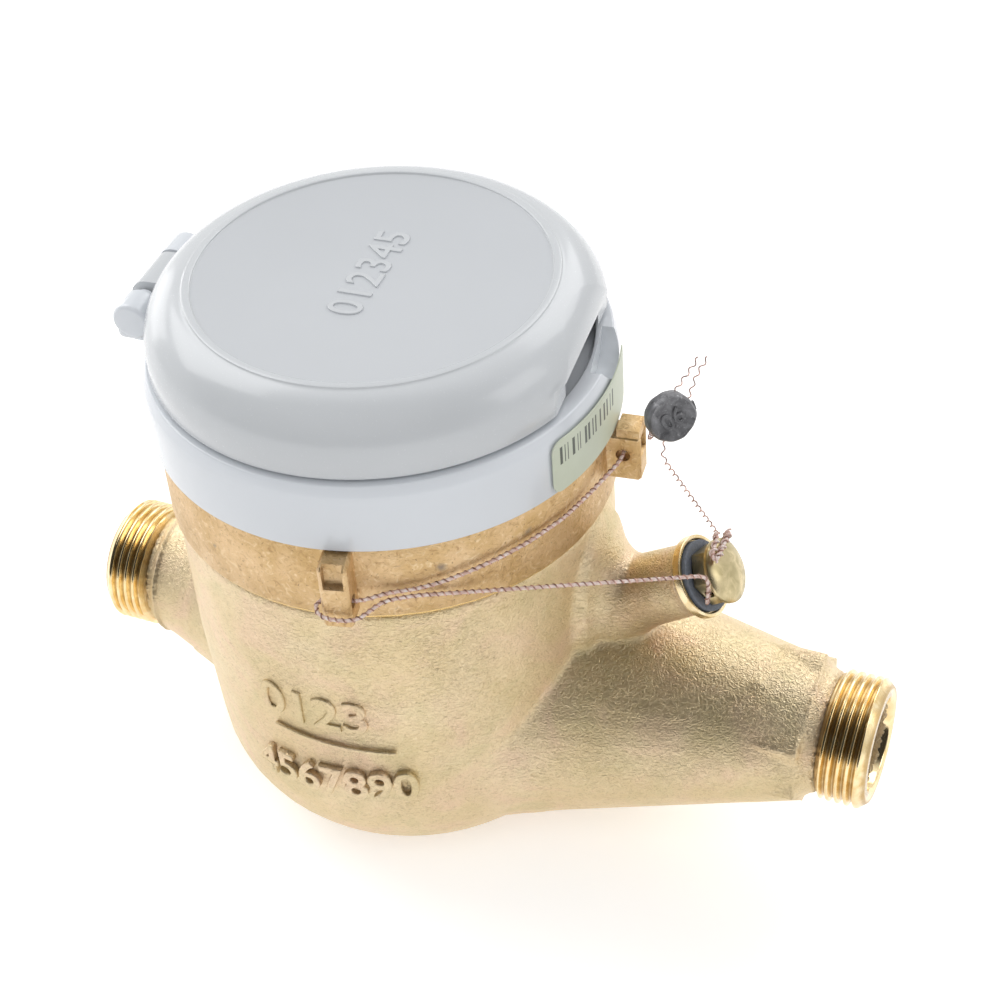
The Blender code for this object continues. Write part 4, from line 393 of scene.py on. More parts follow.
def clear_glass():
    paint = Paint("clear_glass", (0.96, 0.98, 0.98), 0.03)
    paint.set("Transmission Weight", 1.0)
    paint.set("IOR", 1.5)
    smear = paint.noise(0.012, 3.0)
    paint.feed(paint.ramp(smear, 0.4, 0.8, 0.02, 0.07), "Roughness")
    return paint.material


def label_print():
    """Pale green sticker with a short row of plain bars of uneven width."""
    paint = Paint("label_print", (0.56, 0.60, 0.47), 0.45)
    angle = paint.math("ARCTAN2", paint.axis("Y"), paint.axis("X"))
    height = paint.axis("Z")
    mask = None
    for start, width in LABEL_BARS:
        left = paint.math("GREATER_THAN", angle, start)
        right = paint.math("LESS_THAN", angle, start + width)
        bar = paint.math("MULTIPLY", left, right)
        mask = bar if mask is None else paint.math("MAXIMUM", mask, bar)
    low = paint.math("GREATER_THAN", height, LABEL_BAR_LEVELS[0])
    high = paint.math("LESS_THAN", height, LABEL_BAR_LEVELS[1])
    mask = paint.math("MULTIPLY", mask, paint.math("MULTIPLY", low, high))
    tint = paint.mix(paint.noise(0.006, 3.0), (0.54, 0.58, 0.45), (0.62, 0.66, 0.54))
    paint.feed(paint.mix(mask, tint, (0.09, 0.10, 0.08)), "Base Color")
    paint.relief((paint.noise(0.0006, 2.0), 0.00001, 0.4))
    return paint.material


# Shape helpers

def link(obj):
    bpy.context.scene.collection.objects.link(obj)
    return obj


def from_bmesh(name, bm):
    bmesh.ops.recalc_face_normals(bm, faces=bm.faces)
    mesh = bpy.data.meshes.new(name)
    bm.to_mesh(mesh)
    bm.free()
    return link(bpy.data.objects.new(name, mesh))


def rod(name, radius, start, end, steps=48):
    start = Vector(start)
    end = Vector(end)
    bm = bmesh.new()
    depth = (end - start).length
    bmesh.ops.create_cone(
        bm, cap_ends=True, segments=steps, radius1=radius, radius2=radius, depth=depth)
    turn = (end - start).to_track_quat("Z", "Y").to_matrix().to_4x4()
    bmesh.ops.transform(bm, matrix=Matrix.Translation((start + end) / 2) @ turn, verts=bm.verts)
    return from_bmesh(name, bm)


def box(name, low, high):
    bm = bmesh.new()
    bmesh.ops.create_cube(bm, size=1.0)
    low = Vector(low)
    high = Vector(high)
    bmesh.ops.scale(bm, vec=high - low, verts=bm.verts)
    bmesh.ops.translate(bm, vec=(low + high) / 2, verts=bm.verts)
    return from_bmesh(name, bm)


def lathe(name, profile, steps, closed=False):
    mesh = bpy.data.meshes.new(name)
    points = [(radius, 0.0, z) for radius, z in profile]
    edges = [(i, i + 1) for i in range(len(points) - 1)]
    if closed:
        edges.append((len(points) - 1, 0))
    mesh.from_pydata(points, edges, [])
    obj = link(bpy.data.objects.new(name, mesh))
    turn = obj.modifiers.new("turn", "SCREW")
    turn.steps = steps
    turn.render_steps = steps
    turn.use_merge_vertices = True
    turn.merge_threshold = 0.02 * MM
    return obj


def arc(centre_r, centre_z, radius, start, end, count):
    """Profile points on an arc, from one angle in degrees to another."""
    points = []
    for i in range(count + 1):
        angle = math.radians(start + (end - start) * i / count)
        points.append((centre_r + radius * math.cos(angle), centre_z + radius * math.sin(angle)))
    return points


def soften(points, radius):
    """Round the corners of a closed profile with short arcs."""
    result = []
    for i, point in enumerate(points):
        here = Vector(point)
        first = Vector(points[i - 1]) - here
        second = Vector(points[(i + 1) % len(points)]) - here
        reach = min(radius, first.length * 0.45, second.length * 0.45)
        start = here + first.normalized() * reach
        end = here + second.normalized() * reach
        for share in (0.0, 0.25, 0.5, 0.75, 1.0):
            spot = start.lerp(here, share).lerp(here.lerp(end, share), share)
            result.append((spot.x, spot.y))
    return result


def evaluated_mesh(obj):
    bpy.context.view_layer.update()
    graph = bpy.context.evaluated_depsgraph_get()
    return bpy.data.meshes.new_from_object(obj.evaluated_get(graph))


def bake(obj, *spent):
    """Apply obj's modifiers to its mesh and remove the cutters."""
    mesh = evaluated_mesh(obj)
    obj.modifiers.clear()
    old = obj.data
    obj.data = mesh
    bpy.data.meshes.remove(old)
    for other in spent:
        bpy.data.objects.remove(other)
    return obj


def boolean(obj, other, operation):
    step = obj.modifiers.new("step", "BOOLEAN")
    step.operation = operation
    step.solver = "EXACT"
    step.object = other
    return bake(obj, other)


def cut(obj, other):
    return boolean(obj, other, "DIFFERENCE")


def join(obj, other):
    return boolean(obj, other, "UNION")


def bevel(obj, width, segments=3, angle=32.0):
    step = obj.modifiers.new("edges", "BEVEL")
    step.width = width
    step.segments = segments
    step.limit_method = "ANGLE"
    step.angle_limit = math.radians(angle)
    return obj


def paint_with(obj, material):
    obj.data.materials.clear()
    obj.data.materials.append(material)
    return obj


def smooth(obj, angle, material=None):
    """Smooth shading with edges sharper than the angle kept, and a material if one is given."""
    obj.data.shade_smooth()
    obj.data.set_sharp_from_angle(angle=math.radians(angle))
    return paint_with(obj, material) if material else obj


def settle(obj, matrix):
    """Move a mesh by a matrix and leave the object itself at the origin."""
    obj.data.transform(matrix)
    obj.data.update()
    return obj


def turned(obj, angle=TURN):
    """Turn a piece about the head's axis; the register's pieces stand a little turned."""
    return settle(obj, Matrix.Rotation(angle, 4, "Z"))


def copy_node(name, new_name):
    """A welded copy of a CAD node's mesh."""
    mesh = NODES[name].data.copy()
    bm = bmesh.new()
    bm.from_mesh(mesh)
    bmesh.ops.remove_doubles(bm, verts=bm.verts, dist=WELD_REACH)
    bm.to_mesh(mesh)
    bm.free()
    return link(bpy.data.objects.new(new_name, mesh))


def vertices(obj):
    places = np.empty(len(obj.data.vertices) * 3)
    obj.data.vertices.foreach_get("co", places)
    return places.reshape(-1, 3)


def set_vertices(obj, places):
    obj.data.vertices.foreach_set("co", places.ravel())
    obj.data.update()


def raised_text(name, words, size, depth, rounding, wide=1.0):
    """Solid lettering in the XY plane, centred, facing +Z."""
    curve = bpy.data.curves.new(name, "FONT")
    curve.body = words
    curve.size = size
    curve.align_x = "CENTER"
    curve.align_y = "CENTER"
    curve.extrude = depth
    curve.bevel_depth = rounding
    curve.bevel_resolution = 2
    curve.resolution_u = 6
    source = link(bpy.data.objects.new(name + "_curve", curve))
    mesh = evaluated_mesh(source)
    bpy.data.objects.remove(source)
    obj = smooth(link(bpy.data.objects.new(name, mesh)), 50.0)
    places = vertices(obj)
    places[:, 0] *= wide
    set_vertices(obj, places)
    return obj


# Cast body

INLET_REACH = 68.3 * MM
OUTLET_REACH = 100.7 * MM
THREAD_PITCH = 1.814 * MM
THREAD_LENGTH = 9.8 * MM
THREAD_DEPTH = 1.15 * MM
THREAD_CHAMFER = 1.5 * MM
THREAD_FLANK = 1.35
THREAD_VALLEY = 0.12
CHAMFER_SLOPE = 0.95
RUNOUT_SLOPE = 1.5
END_BAND = 2.1 * MM
BORE_RADIUS = 9.5 * MM
OUTLET_SHOULDER = 87.1 * MM
INLET_SHOULDER = 54.7 * MM
BOSS_TILT = math.radians(32.0)
BOSS_AXIS = Vector((math.cos(BOSS_TILT), 0.0, math.sin(BOSS_TILT)))
BOSS_FACE = Vector((64.4 * MM, 0.0, 67.2 * MM))
FLANGE_RADIUS = 8.1 * MM
FLANGE_THICKNESS = 1.7 * MM

# Bowl's wall, the height under which it curves in, and how fast
BOWL_WALL = 43.05 * MM
BOWL_CURVE_Z = 26.0 * MM
BOWL_CURVE = 0.4
BOWL_CURVE_REACH = 22.0 * MM

# Outlet's spanner form: a falling cone, and the corners that still stand out of it as wedges
OUTLET_CONE_RADIUS = 14.2 * MM
OUTLET_CONE_SLOPE = 0.245
OUTLET_DROP = 0.7 * MM
OUTLET_FALL = 0.09
OUTLET_CORNERS = (20.0, 65.0, 155.0, 200.0, 245.0, 290.0, 335.0)
CORNER_REACH = 15.9 * MM
CORNER_ARM = 15.6 * MM
CORNER_SLOPE = 0.5
OUTLET_CLEAR = 12.9 * MM

# Inlet's spanner form: a cone, and the share of the corners that is left
INLET_CONE_RADIUS = 13.4 * MM
INLET_CONE_SLOPE = 0.37
INLET_CORNER_SHARE = 0.2
INLET_CLEAR = 12.6 * MM

# Stretch of each pipe in front of its shoulder and behind it that is shaped
SHAPED_BEFORE = -0.4 * MM
SHAPED_AFTER = 9.0 * MM


def boss_matrix():
    return Matrix.Translation(BOSS_FACE) @ BOSS_AXIS.to_track_quat("Z", "Y").to_matrix().to_4x4()


def pull_in(places, origin, axis, start, radius, back):
    """Shrink the casting under a machined piece that stands in its place."""
    axis = np.array(axis)
    rel = places - np.array(origin)
    along = rel @ axis
    across = rel - np.outer(along, axis)
    reach = np.linalg.norm(across, axis=1)
    near = (along > start) & (reach < radius * 2.2)
    chosen = near & (reach > radius)
    across[chosen] *= (radius / reach[chosen])[:, None]
    along = np.where(near, np.minimum(along, back), along)
    places[near] = (np.array(origin) + np.outer(along, axis) + across)[near]
    return places


def shape_corners(places):
    """Keep some corners of the outlet's spanner form as wedges and melt the rest into the cones."""
    x, y, z = places.T
    level = z - PIPE_Z
    reach = np.hypot(y, level)
    angle = np.degrees(np.arctan2(level, y)) % 360.0
    run = OUTLET_SHOULDER - x
    drop = OUTLET_DROP + OUTLET_FALL * run
    radius = OUTLET_CONE_RADIUS + OUTLET_CONE_SLOPE * run
    turn = np.radians(angle)
    cone = np.sqrt(np.maximum(radius ** 2 - (drop * np.cos(turn)) ** 2, 0.0)) - drop * np.sin(turn)
    form = cone.copy()
    for corner in OUTLET_CORNERS:
        apart = np.abs((angle - corner + 180.0) % 360.0 - 180.0)
        form = np.maximum(form, CORNER_REACH - np.radians(apart) * CORNER_ARM * CORNER_SLOPE)
    chosen = (run > SHAPED_BEFORE) & (run < SHAPED_AFTER) & (reach > OUTLET_CLEAR)
    scale = np.where(chosen, form / reach, 1.0)
    run = INLET_SHOULDER + x
    cone = INLET_CONE_RADIUS + INLET_CONE_SLOPE * run
    form = cone + INLET_CORNER_SHARE * np.maximum(reach - cone, 0.0)
    chosen = (run > SHAPED_BEFORE) & (run < SHAPED_AFTER) & (reach > INLET_CLEAR)
    scale = np.where(chosen, form / reach, scale)
    return np.column_stack((x, y * scale, PIPE_Z + level * scale))


def cast_body(material):
    body = copy_node("body", "cast_body")
    remesh = body.modifiers.new("grid", "REMESH")
    remesh.mode = "VOXEL"
    remesh.voxel_size = (0.8 if FINE else 1.6) * MM
    relax = body.modifiers.new("relax", "SMOOTH")
    relax.factor = 0.5
    relax.iterations = 4
    bake(body)
    places = shape_corners(vertices(body))
    under_root = 0.85 * MM
    root = THREAD_RADIUS - THREAD_DEPTH - under_root
    for axis, face in (((1, 0, 0), OUTLET_REACH), ((-1, 0, 0), INLET_REACH)):
        start = face - THREAD_LENGTH - 0.4 * MM
        places = pull_in(places, (0, 0, PIPE_Z), axis, start, root, face - 0.8 * MM)
    start = -FLANGE_THICKNESS - 0.2 * MM
    places = pull_in(places, BOSS_FACE, BOSS_AXIS, start, FLANGE_RADIUS - 1.3 * MM, -1.5 * MM)
    places[:, 2] = np.maximum(places[:, 2], 0.0)
    set_vertices(body, places)
    body.data.shade_smooth()
    paint_with(body, material)
    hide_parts("body")
    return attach(body, "meter_body")


def thread_piece(name, face, sign, material):
    """Helical pipe thread with a chamfered end, its end face and the start of the bore."""
    around = 128 if FINE else 64
    per_pitch = 14 if FINE else 8
    rows = int(THREAD_LENGTH / THREAD_PITCH * per_pitch)
    root = THREAD_RADIUS - THREAD_DEPTH
    edge = THREAD_RADIUS - THREAD_CHAMFER
    angles = np.arange(around) * 2 * math.pi / around
    bore = BORE_RADIUS - 0.08 * MM
    rings = [(bore, 12.0 * MM), (bore, 0.6 * MM), (bore + 0.4 * MM, 0.0), (edge - 0.1 * MM, 0.0)]
    for i in range(rows + 1):
        depth = THREAD_LENGTH * i / rows
        phase = (depth / THREAD_PITCH - sign * angles / (2 * math.pi)) % 1.0
        rise = 1.0 - 2.0 * np.abs(phase - 0.5)
        wave = np.clip(THREAD_FLANK * rise - THREAD_VALLEY, 0.0, 1.0)
        wave = wave * wave * (3.0 - 2.0 * wave)
        wave = np.maximum(wave, min(1.0, (END_BAND - depth) / (0.4 * MM)))
        radius = root + (THREAD_RADIUS - root) * wave
        radius = np.minimum(radius, edge + depth * CHAMFER_SLOPE)
        runout = root + (THREAD_LENGTH - depth) * RUNOUT_SLOPE
        rings.append((np.minimum(radius, runout), depth))
    rings.append((root - 0.3 * MM, THREAD_LENGTH + 0.3 * MM))
    places = np.empty((len(rings), around, 3))
    for i, (radius, depth) in enumerate(rings):
        places[i, :, 0] = sign * (face - depth)
        places[i, :, 1] = radius * np.cos(angles)
        places[i, :, 2] = PIPE_Z + radius * np.sin(angles)
    bm = bmesh.new()
    spots = [bm.verts.new(place) for place in places.reshape(-1, 3)]
    for i in range(len(rings) - 1):
        for j in range(around):
            here, other = i * around + j, i * around + (j + 1) % around
            bm.faces.new([spots[k] for k in (here, other, other + around, here + around)])
    obj = smooth(from_bmesh(name, bm), 60.0, material)
    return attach(obj, "meter_body")


def flange_rim(material):
    """The turned end of the regulating boss, whose middle is left open for the washer."""
    seat = 7.3 * MM
    bore = 5.05 * MM
    profile = [
        (seat, -0.02 * MM),
        (FLANGE_RADIUS, -0.02 * MM),
        (FLANGE_RADIUS, -FLANGE_THICKNESS),
        (6.0 * MM, -FLANGE_THICKNESS - 0.4 * MM),
        (bore, -FLANGE_THICKNESS - 0.4 * MM),
        (bore, -1.0 * MM),
        (seat, -1.0 * MM),
    ]
    rim = lathe("flange_rim", soften(profile, 0.22 * MM), 96, closed=True)
    bake(rim)
    smooth(rim, 60.0, material)
    settle(rim, boss_matrix())
    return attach(rim, "meter_body")


def wrap_on_bowl(obj, azimuth, height, tilt=0.0):
    """Bend flat lettering round the bowl's wall."""
    places = vertices(obj)
    cos_t, sin_t = math.cos(tilt), math.sin(tilt)
    x = places[:, 0] * cos_t - places[:, 1] * sin_t
    z = places[:, 0] * sin_t + places[:, 1] * cos_t + height
    drop = np.maximum(0.0, BOWL_CURVE_Z - z)
    wall = BOWL_WALL - BOWL_CURVE * drop * drop / BOWL_CURVE_REACH + places[:, 2]
    angle = azimuth + x / BOWL_WALL
    places = np.column_stack((wall * np.cos(angle), wall * np.sin(angle), z))
    set_vertices(obj, places)
    return obj


def cast_marks(material):
    """Two rows of plain digits and a bar, raised on the bowl's front."""
    rows = (
        ("cast_digits_upper", "0123", 11.2, -90.5, 49.7, 0.0, 1.06),
        ("cast_digits_lower", "4567890", 10.4, -88.0, 30.4, 2.0, 0.98),
    )
    for name, words, size, azimuth, height, tilt, wide in rows:
        text = raised_text(name, words, size * MM, 0.38 * MM, 0.30 * MM, wide)
        wrap_on_bowl(text, math.radians(azimuth), height * MM, math.radians(tilt))
        paint_with(text, material)
        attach(text, "meter_body")
    bm = bmesh.new()
    bmesh.ops.create_grid(bm, x_segments=24, y_segments=1, size=0.5)
    bmesh.ops.scale(bm, vec=(25.5 * MM, 0.9 * MM, 1.0), verts=bm.verts)
    top = bmesh.ops.extrude_face_region(bm, geom=bm.faces[:])
    lifted = [part for part in top["geom"] if isinstance(part, bmesh.types.BMVert)]
    bmesh.ops.translate(bm, vec=(0.0, 0.0, 0.75 * MM), verts=lifted)
    bar = from_bmesh("cast_bar", bm)
    bake(bevel(bar, 0.25 * MM, 2, 60.0))
    wrap_on_bowl(bar, math.radians(-86.0), 41.8 * MM, math.radians(-4.0))
    smooth(bar, 50.0, material)
    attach(bar, "meter_body")


# Head ring and register hood; the hood's own three sizes are in millimetres

RING_RADIUS = 44.2 * MM
HOOD_RADIUS = 45.03
HOOD_TOP = 109.3
HOOD_BOTTOM = 95.0
DIP_RADIUS = 8.0 * MM
DIP_DEPTH = 4.6 * MM
DIP_START = 41.3 * MM
DIP_TURN = math.radians(9.0)
PIN_HOLE_RADIUS = 1.6 * MM
HINGE_OUT = 46.3 * MM
HINGE_Z = 111.6 * MM
KNUCKLE_RADIUS = 3.8 * MM
FRONT_KNUCKLE = (-11.8 * MM, -6.0 * MM)
LID_KNUCKLE = (-3.2 * MM, 7.3 * MM)
BACK_KNUCKLE = (8.1 * MM, 15.0 * MM)
STUB_RADIUS = 2.7 * MM
LID_BOTTOM_Z = 110.1 * MM
LID_RADIUS = 43.4 * MM
LID_SHOULDER = 9.7 * MM
LID_LIP = 4.0 * MM
LID_TOP_Z = LID_BOTTOM_Z + LID_LIP + LID_SHOULDER + 0.25 * MM
LID_WALL = 2.2 * MM


def head_ring(material):
    ring = copy_node("head_ring", "clamp_ring")
    bevel(ring, 0.22 * MM, 2)
    bake(ring)
    smooth(ring, 40.0, material)
    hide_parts("head_ring")
    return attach(ring, "meter_body")


def hinge_rod(name, radius, start, end):
    return rod(name, radius, (-HINGE_OUT, start, HINGE_Z), (-HINGE_OUT, end, HINGE_Z))


def hood(material):
    """The register's ring with its two outer hinge knuckles and the finger recess."""
    profile = [
        (40.6, 107.7), (40.6, HOOD_TOP), (44.1, HOOD_TOP), (44.9, 107.1), (HOOD_RADIUS, 105.7),
        (HOOD_RADIUS, HOOD_BOTTOM), (42.5, HOOD_BOTTOM), (42.5, 99.2), (36.9, 99.2), (36.9, 106.5),
        (34.8, 106.5), (34.8, 107.7)]
    profile = [(radius * MM, level * MM) for radius, level in profile]
    steps = 200 if FINE else 96
    ring = bake(lathe("hood_shell", soften(profile, 0.35 * MM), steps, closed=True))
    outer = -HINGE_OUT - KNUCKLE_RADIUS + 0.3 * MM
    bottom = HINGE_Z - 4.4 * MM
    inset = 0.3 * MM
    for near, far in (FRONT_KNUCKLE, BACK_KNUCKLE):
        low = (-HINGE_OUT, near + 2 * inset, bottom + inset)
        root = box("root", low, (-41.0 * MM, far - 2 * inset, 109.0 * MM))
        join(ring, root)
        high = (-43.5 * MM, far - inset, HINGE_Z - 0.6 * MM)
        block = box("block", (outer, near + inset, bottom), high)
        bake(bevel(block, 1.2 * MM, 4))
        join(ring, block)
    barrel = hinge_rod("barrel", KNUCKLE_RADIUS, FRONT_KNUCKLE[0], BACK_KNUCKLE[1])
    join(ring, bake(bevel(barrel, 0.9 * MM, 4)))
    relief = hinge_rod("relief", KNUCKLE_RADIUS + 0.5 * MM, FRONT_KNUCKLE[1], BACK_KNUCKLE[0])
    cut(ring, relief)
    stub = hinge_rod("stub", STUB_RADIUS, FRONT_KNUCKLE[1] - 1 * MM, LID_KNUCKLE[0] - 0.8 * MM)
    join(ring, bake(bevel(stub, 0.3 * MM, 3)))
    start = FRONT_KNUCKLE[0] + 1 * MM
    pin_hole = hinge_rod("pin_hole", PIN_HOLE_RADIUS, start, BACK_KNUCKLE[1] + 1 * MM)
    cut(ring, pin_hole)
    level = HOOD_TOP * MM + DIP_RADIUS - DIP_DEPTH
    dip = rod("dip", DIP_RADIUS, (DIP_START, 0, level), (48.1 * MM, 0, level), 96)
    cut(ring, turned(dip, DIP_TURN))
    smooth(ring, 34.0, material)
    turned(ring)
    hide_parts("hood_ring")
    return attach(ring, "register")


NOTCH_X = LID_RADIUS - 2.5 * MM
NOTCH_RIM_Z = LID_BOTTOM_Z + 5.4 * MM
NOTCH_FACE = 8.15 * MM
NOTCH_TURN = math.radians(2.5)
NOTCH_OUT = 45.1 * MM
LID_DISC_RADIUS = 33.3 * MM


def notch_lip():
    low = (NOTCH_X - 1.2 * MM, -LID_RADIUS, LID_BOTTOM_Z - 1 * MM)
    return box("notch_lip", low, (NOTCH_OUT, LID_RADIUS, NOTCH_RIM_Z))


def notch_face():
    """What lies outside the notch's rounded face."""
    x = NOTCH_X - math.sqrt(NOTCH_FACE ** 2 - MM ** 2)
    z = NOTCH_RIM_Z + 1 * MM
    low = (x, -LID_RADIUS, NOTCH_RIM_Z - 0.5 * MM)
    face = box("notch_face", low, (NOTCH_OUT, LID_RADIUS, LID_TOP_Z + 1 * MM))
    reach = LID_RADIUS + 1 * MM
    form = rod("notch_form", NOTCH_FACE, (x, -reach, z), (x, reach, z), 160)
    return cut(face, form)


def notch_pad():
    """Extra wall behind the notch, inside the shoulder's skin."""
    centre_r = LID_RADIUS - LID_SHOULDER
    shoulder_z = LID_BOTTOM_Z + LID_LIP
    skin = 0.4 * MM
    profile = [(0.0, shoulder_z + LID_SHOULDER - skin)]
    profile += arc(centre_r, shoulder_z, LID_SHOULDER - skin, 90.0, 0.0, 12)
    profile += [(LID_RADIUS - skin, LID_BOTTOM_Z), (0.0, LID_BOTTOM_Z)]
    pad = bake(lathe("notch_pad", profile, 96))
    low = (NOTCH_X - 2.5 * MM, -15 * MM, NOTCH_RIM_Z - 1 * MM)
    block = box("pad_block", low, (NOTCH_OUT, 15 * MM, NOTCH_RIM_Z + 5 * MM))
    return boolean(pad, block, "INTERSECT")


def lid(material, satin):
    """The domed cover with a groove round its satin disc, the notch and the middle knuckle."""
    centre_r = LID_RADIUS - LID_SHOULDER
    shoulder_z = LID_BOTTOM_Z + LID_LIP
    start = math.degrees(math.acos((35.3 * MM - centre_r) / LID_SHOULDER))
    disc_z = LID_TOP_Z - 0.45 * MM
    profile = [
        (0.0, disc_z),
        (33.35 * MM, disc_z),
        (33.5 * MM, disc_z + 0.08 * MM),
        (33.58 * MM, LID_TOP_Z - 0.1 * MM),
        (33.75 * MM, LID_TOP_Z),
        (34.75 * MM, LID_TOP_Z),
        (35.0 * MM, LID_TOP_Z - 0.1 * MM),
        (35.1 * MM, LID_TOP_Z - 0.26 * MM),
    ]
    profile += arc(centre_r, shoulder_z, LID_SHOULDER, start, 0.0, 26)
    profile += [
        (LID_RADIUS, LID_BOTTOM_Z + 0.5 * MM),
        (LID_RADIUS - 0.15 * MM, LID_BOTTOM_Z + 0.15 * MM),
        (LID_RADIUS - 0.5 * MM, LID_BOTTOM_Z),
        (LID_RADIUS - LID_WALL, LID_BOTTOM_Z),
    ]
    profile += arc(centre_r, shoulder_z, LID_SHOULDER - LID_WALL, 0.0, 78.0, 10)
    profile.append((0.0, LID_TOP_Z - LID_WALL))
    cover = bake(lathe("lid_cover", profile, 200 if FINE else 96))
    join(cover, notch_pad())
    for cutter in (notch_lip(), notch_face()):
        cut(cover, turned(cutter, NOTCH_TURN))
    start = FRONT_KNUCKLE[0] - 0.8 * MM
    relief = hinge_rod("relief", KNUCKLE_RADIUS + 0.5 * MM, start, BACK_KNUCKLE[1] + 0.8 * MM)
    cut(cover, relief)
    near, far = LID_KNUCKLE
    high = (-LID_RADIUS + LID_WALL, far, HINGE_Z + KNUCKLE_RADIUS)
    join(cover, box("block", (-HINGE_OUT, near, LID_BOTTOM_Z), high))
    join(cover, hinge_rod("barrel", KNUCKLE_RADIUS, near, far))
    pin_hole = hinge_rod("pin_hole", PIN_HOLE_RADIUS, near - 1 * MM, far + 1 * MM)
    cut(cover, pin_hole)
    smooth(cover, 30.0, material)
    cover.data.materials.append(satin)
    for face in cover.data.polygons:
        x, y, z = face.center
        level = z > disc_z - 0.1 * MM and face.normal.z > 0.9
        if level and math.hypot(x, y) < LID_DISC_RADIUS:
            face.material_index = 1
    turned(cover)
    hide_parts("lid")
    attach(cover, "lid")
    motif = raised_text("lid_motif", "012345", 9.4 * MM, 0.12 * MM, 0.08 * MM, 0.98)
    lift = Matrix.Translation((0.0, 0.0, disc_z + 0.1 * MM))
    settle(motif, lift @ Matrix.Rotation(math.pi / 2, 4, "Z"))
    paint_with(motif, material)
    turned(motif)
    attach(motif, "lid")


# Wire and seal

WIRE_STEP = 1.0 * MM
SEAL_RADIUS = 4.3 * MM
SEAL_THICKNESS = 3.6 * MM
SEAL_CENTRE = Vector((59.6, -5.1, 108.7)) * MM
SEAL_NORMAL = Vector((0.263, -0.737, 0.623)).normalized()
SEAL_DRUM_RADIUS = 4.4 * MM
SEAL_DRUM_NORMAL = (SEAL_NORMAL + CAMERA_RIGHT * 0.36 + CAMERA_DOWN * 0.34).normalized()
SEAL_TURN = math.radians(28.5)
SEAL_LEVEL = Vector((0.0, 0.0, 1.0)).cross(SEAL_NORMAL).normalized()
SEAL_SIDE = Matrix.Rotation(-SEAL_TURN, 3, SEAL_NORMAL) @ SEAL_LEVEL
SEAL_UP = SEAL_NORMAL.cross(SEAL_SIDE)
LUG_AZIMUTHS = (math.radians(-76.5), math.radians(7.0))
LUG_HOLE_LEVELS = (85.3 * MM, 90.0 * MM)
LUG_REACHES = (5.2 * MM, 6.4 * MM)
LUG_WIDTH = 5.5 * MM

# Places on the head ring's face, as azimuth in degrees and level in millimetres
FACE_ROUTE = (
    (-9.0, 88.6), (-20.0, 88.5), (-31.0, 88.2), (-39.0, 87.7), (-47.0, 86.9), (-54.0, 86.0),
    (-60.0, 85.5), (-66.0, 85.3))
LOWER_ROUTE = ((-67.0, 83.4), (-60.0, 84.0))

# Places at the plug in millimetres: across, up and out along its axis
PLUG_HOLE_LEVEL = 2.452
PLUG_HOLE_TURN = math.radians(12.0)
PLUG_HOLE_REACH = 8.2
BUNDLE_ROUTE = (
    (6.1, 4.3, 6.2), (2.8, 4.9, 7.0), (-0.2, 5.0, 7.1), (-3.6, 4.4, 7.0), (-4.3, 5.2, 6.8),
    (-3.5, 6.2, 6.6), (0.1, 6.3, 6.6), (2.4, 7.1, 6.3))


def seal_point(side, up, out=0.0):
    return SEAL_CENTRE + SEAL_SIDE * side + SEAL_UP * up + SEAL_NORMAL * out


def around_head(azimuth, radius, level, along=0.0):
    x = radius * math.cos(azimuth) - along * math.sin(azimuth)
    y = radius * math.sin(azimuth) + along * math.cos(azimuth)
    return Vector((x, y, level))


def at_plug(across, up, out):
    """A place at the plug, given in millimetres."""
    return boss_matrix() @ Vector((across * MM, up * MM, out * MM))


def on_ring(route):
    face = RING_RADIUS + 1.1 * MM
    return [around_head(math.radians(degrees), face, level * MM) for degrees, level in route]


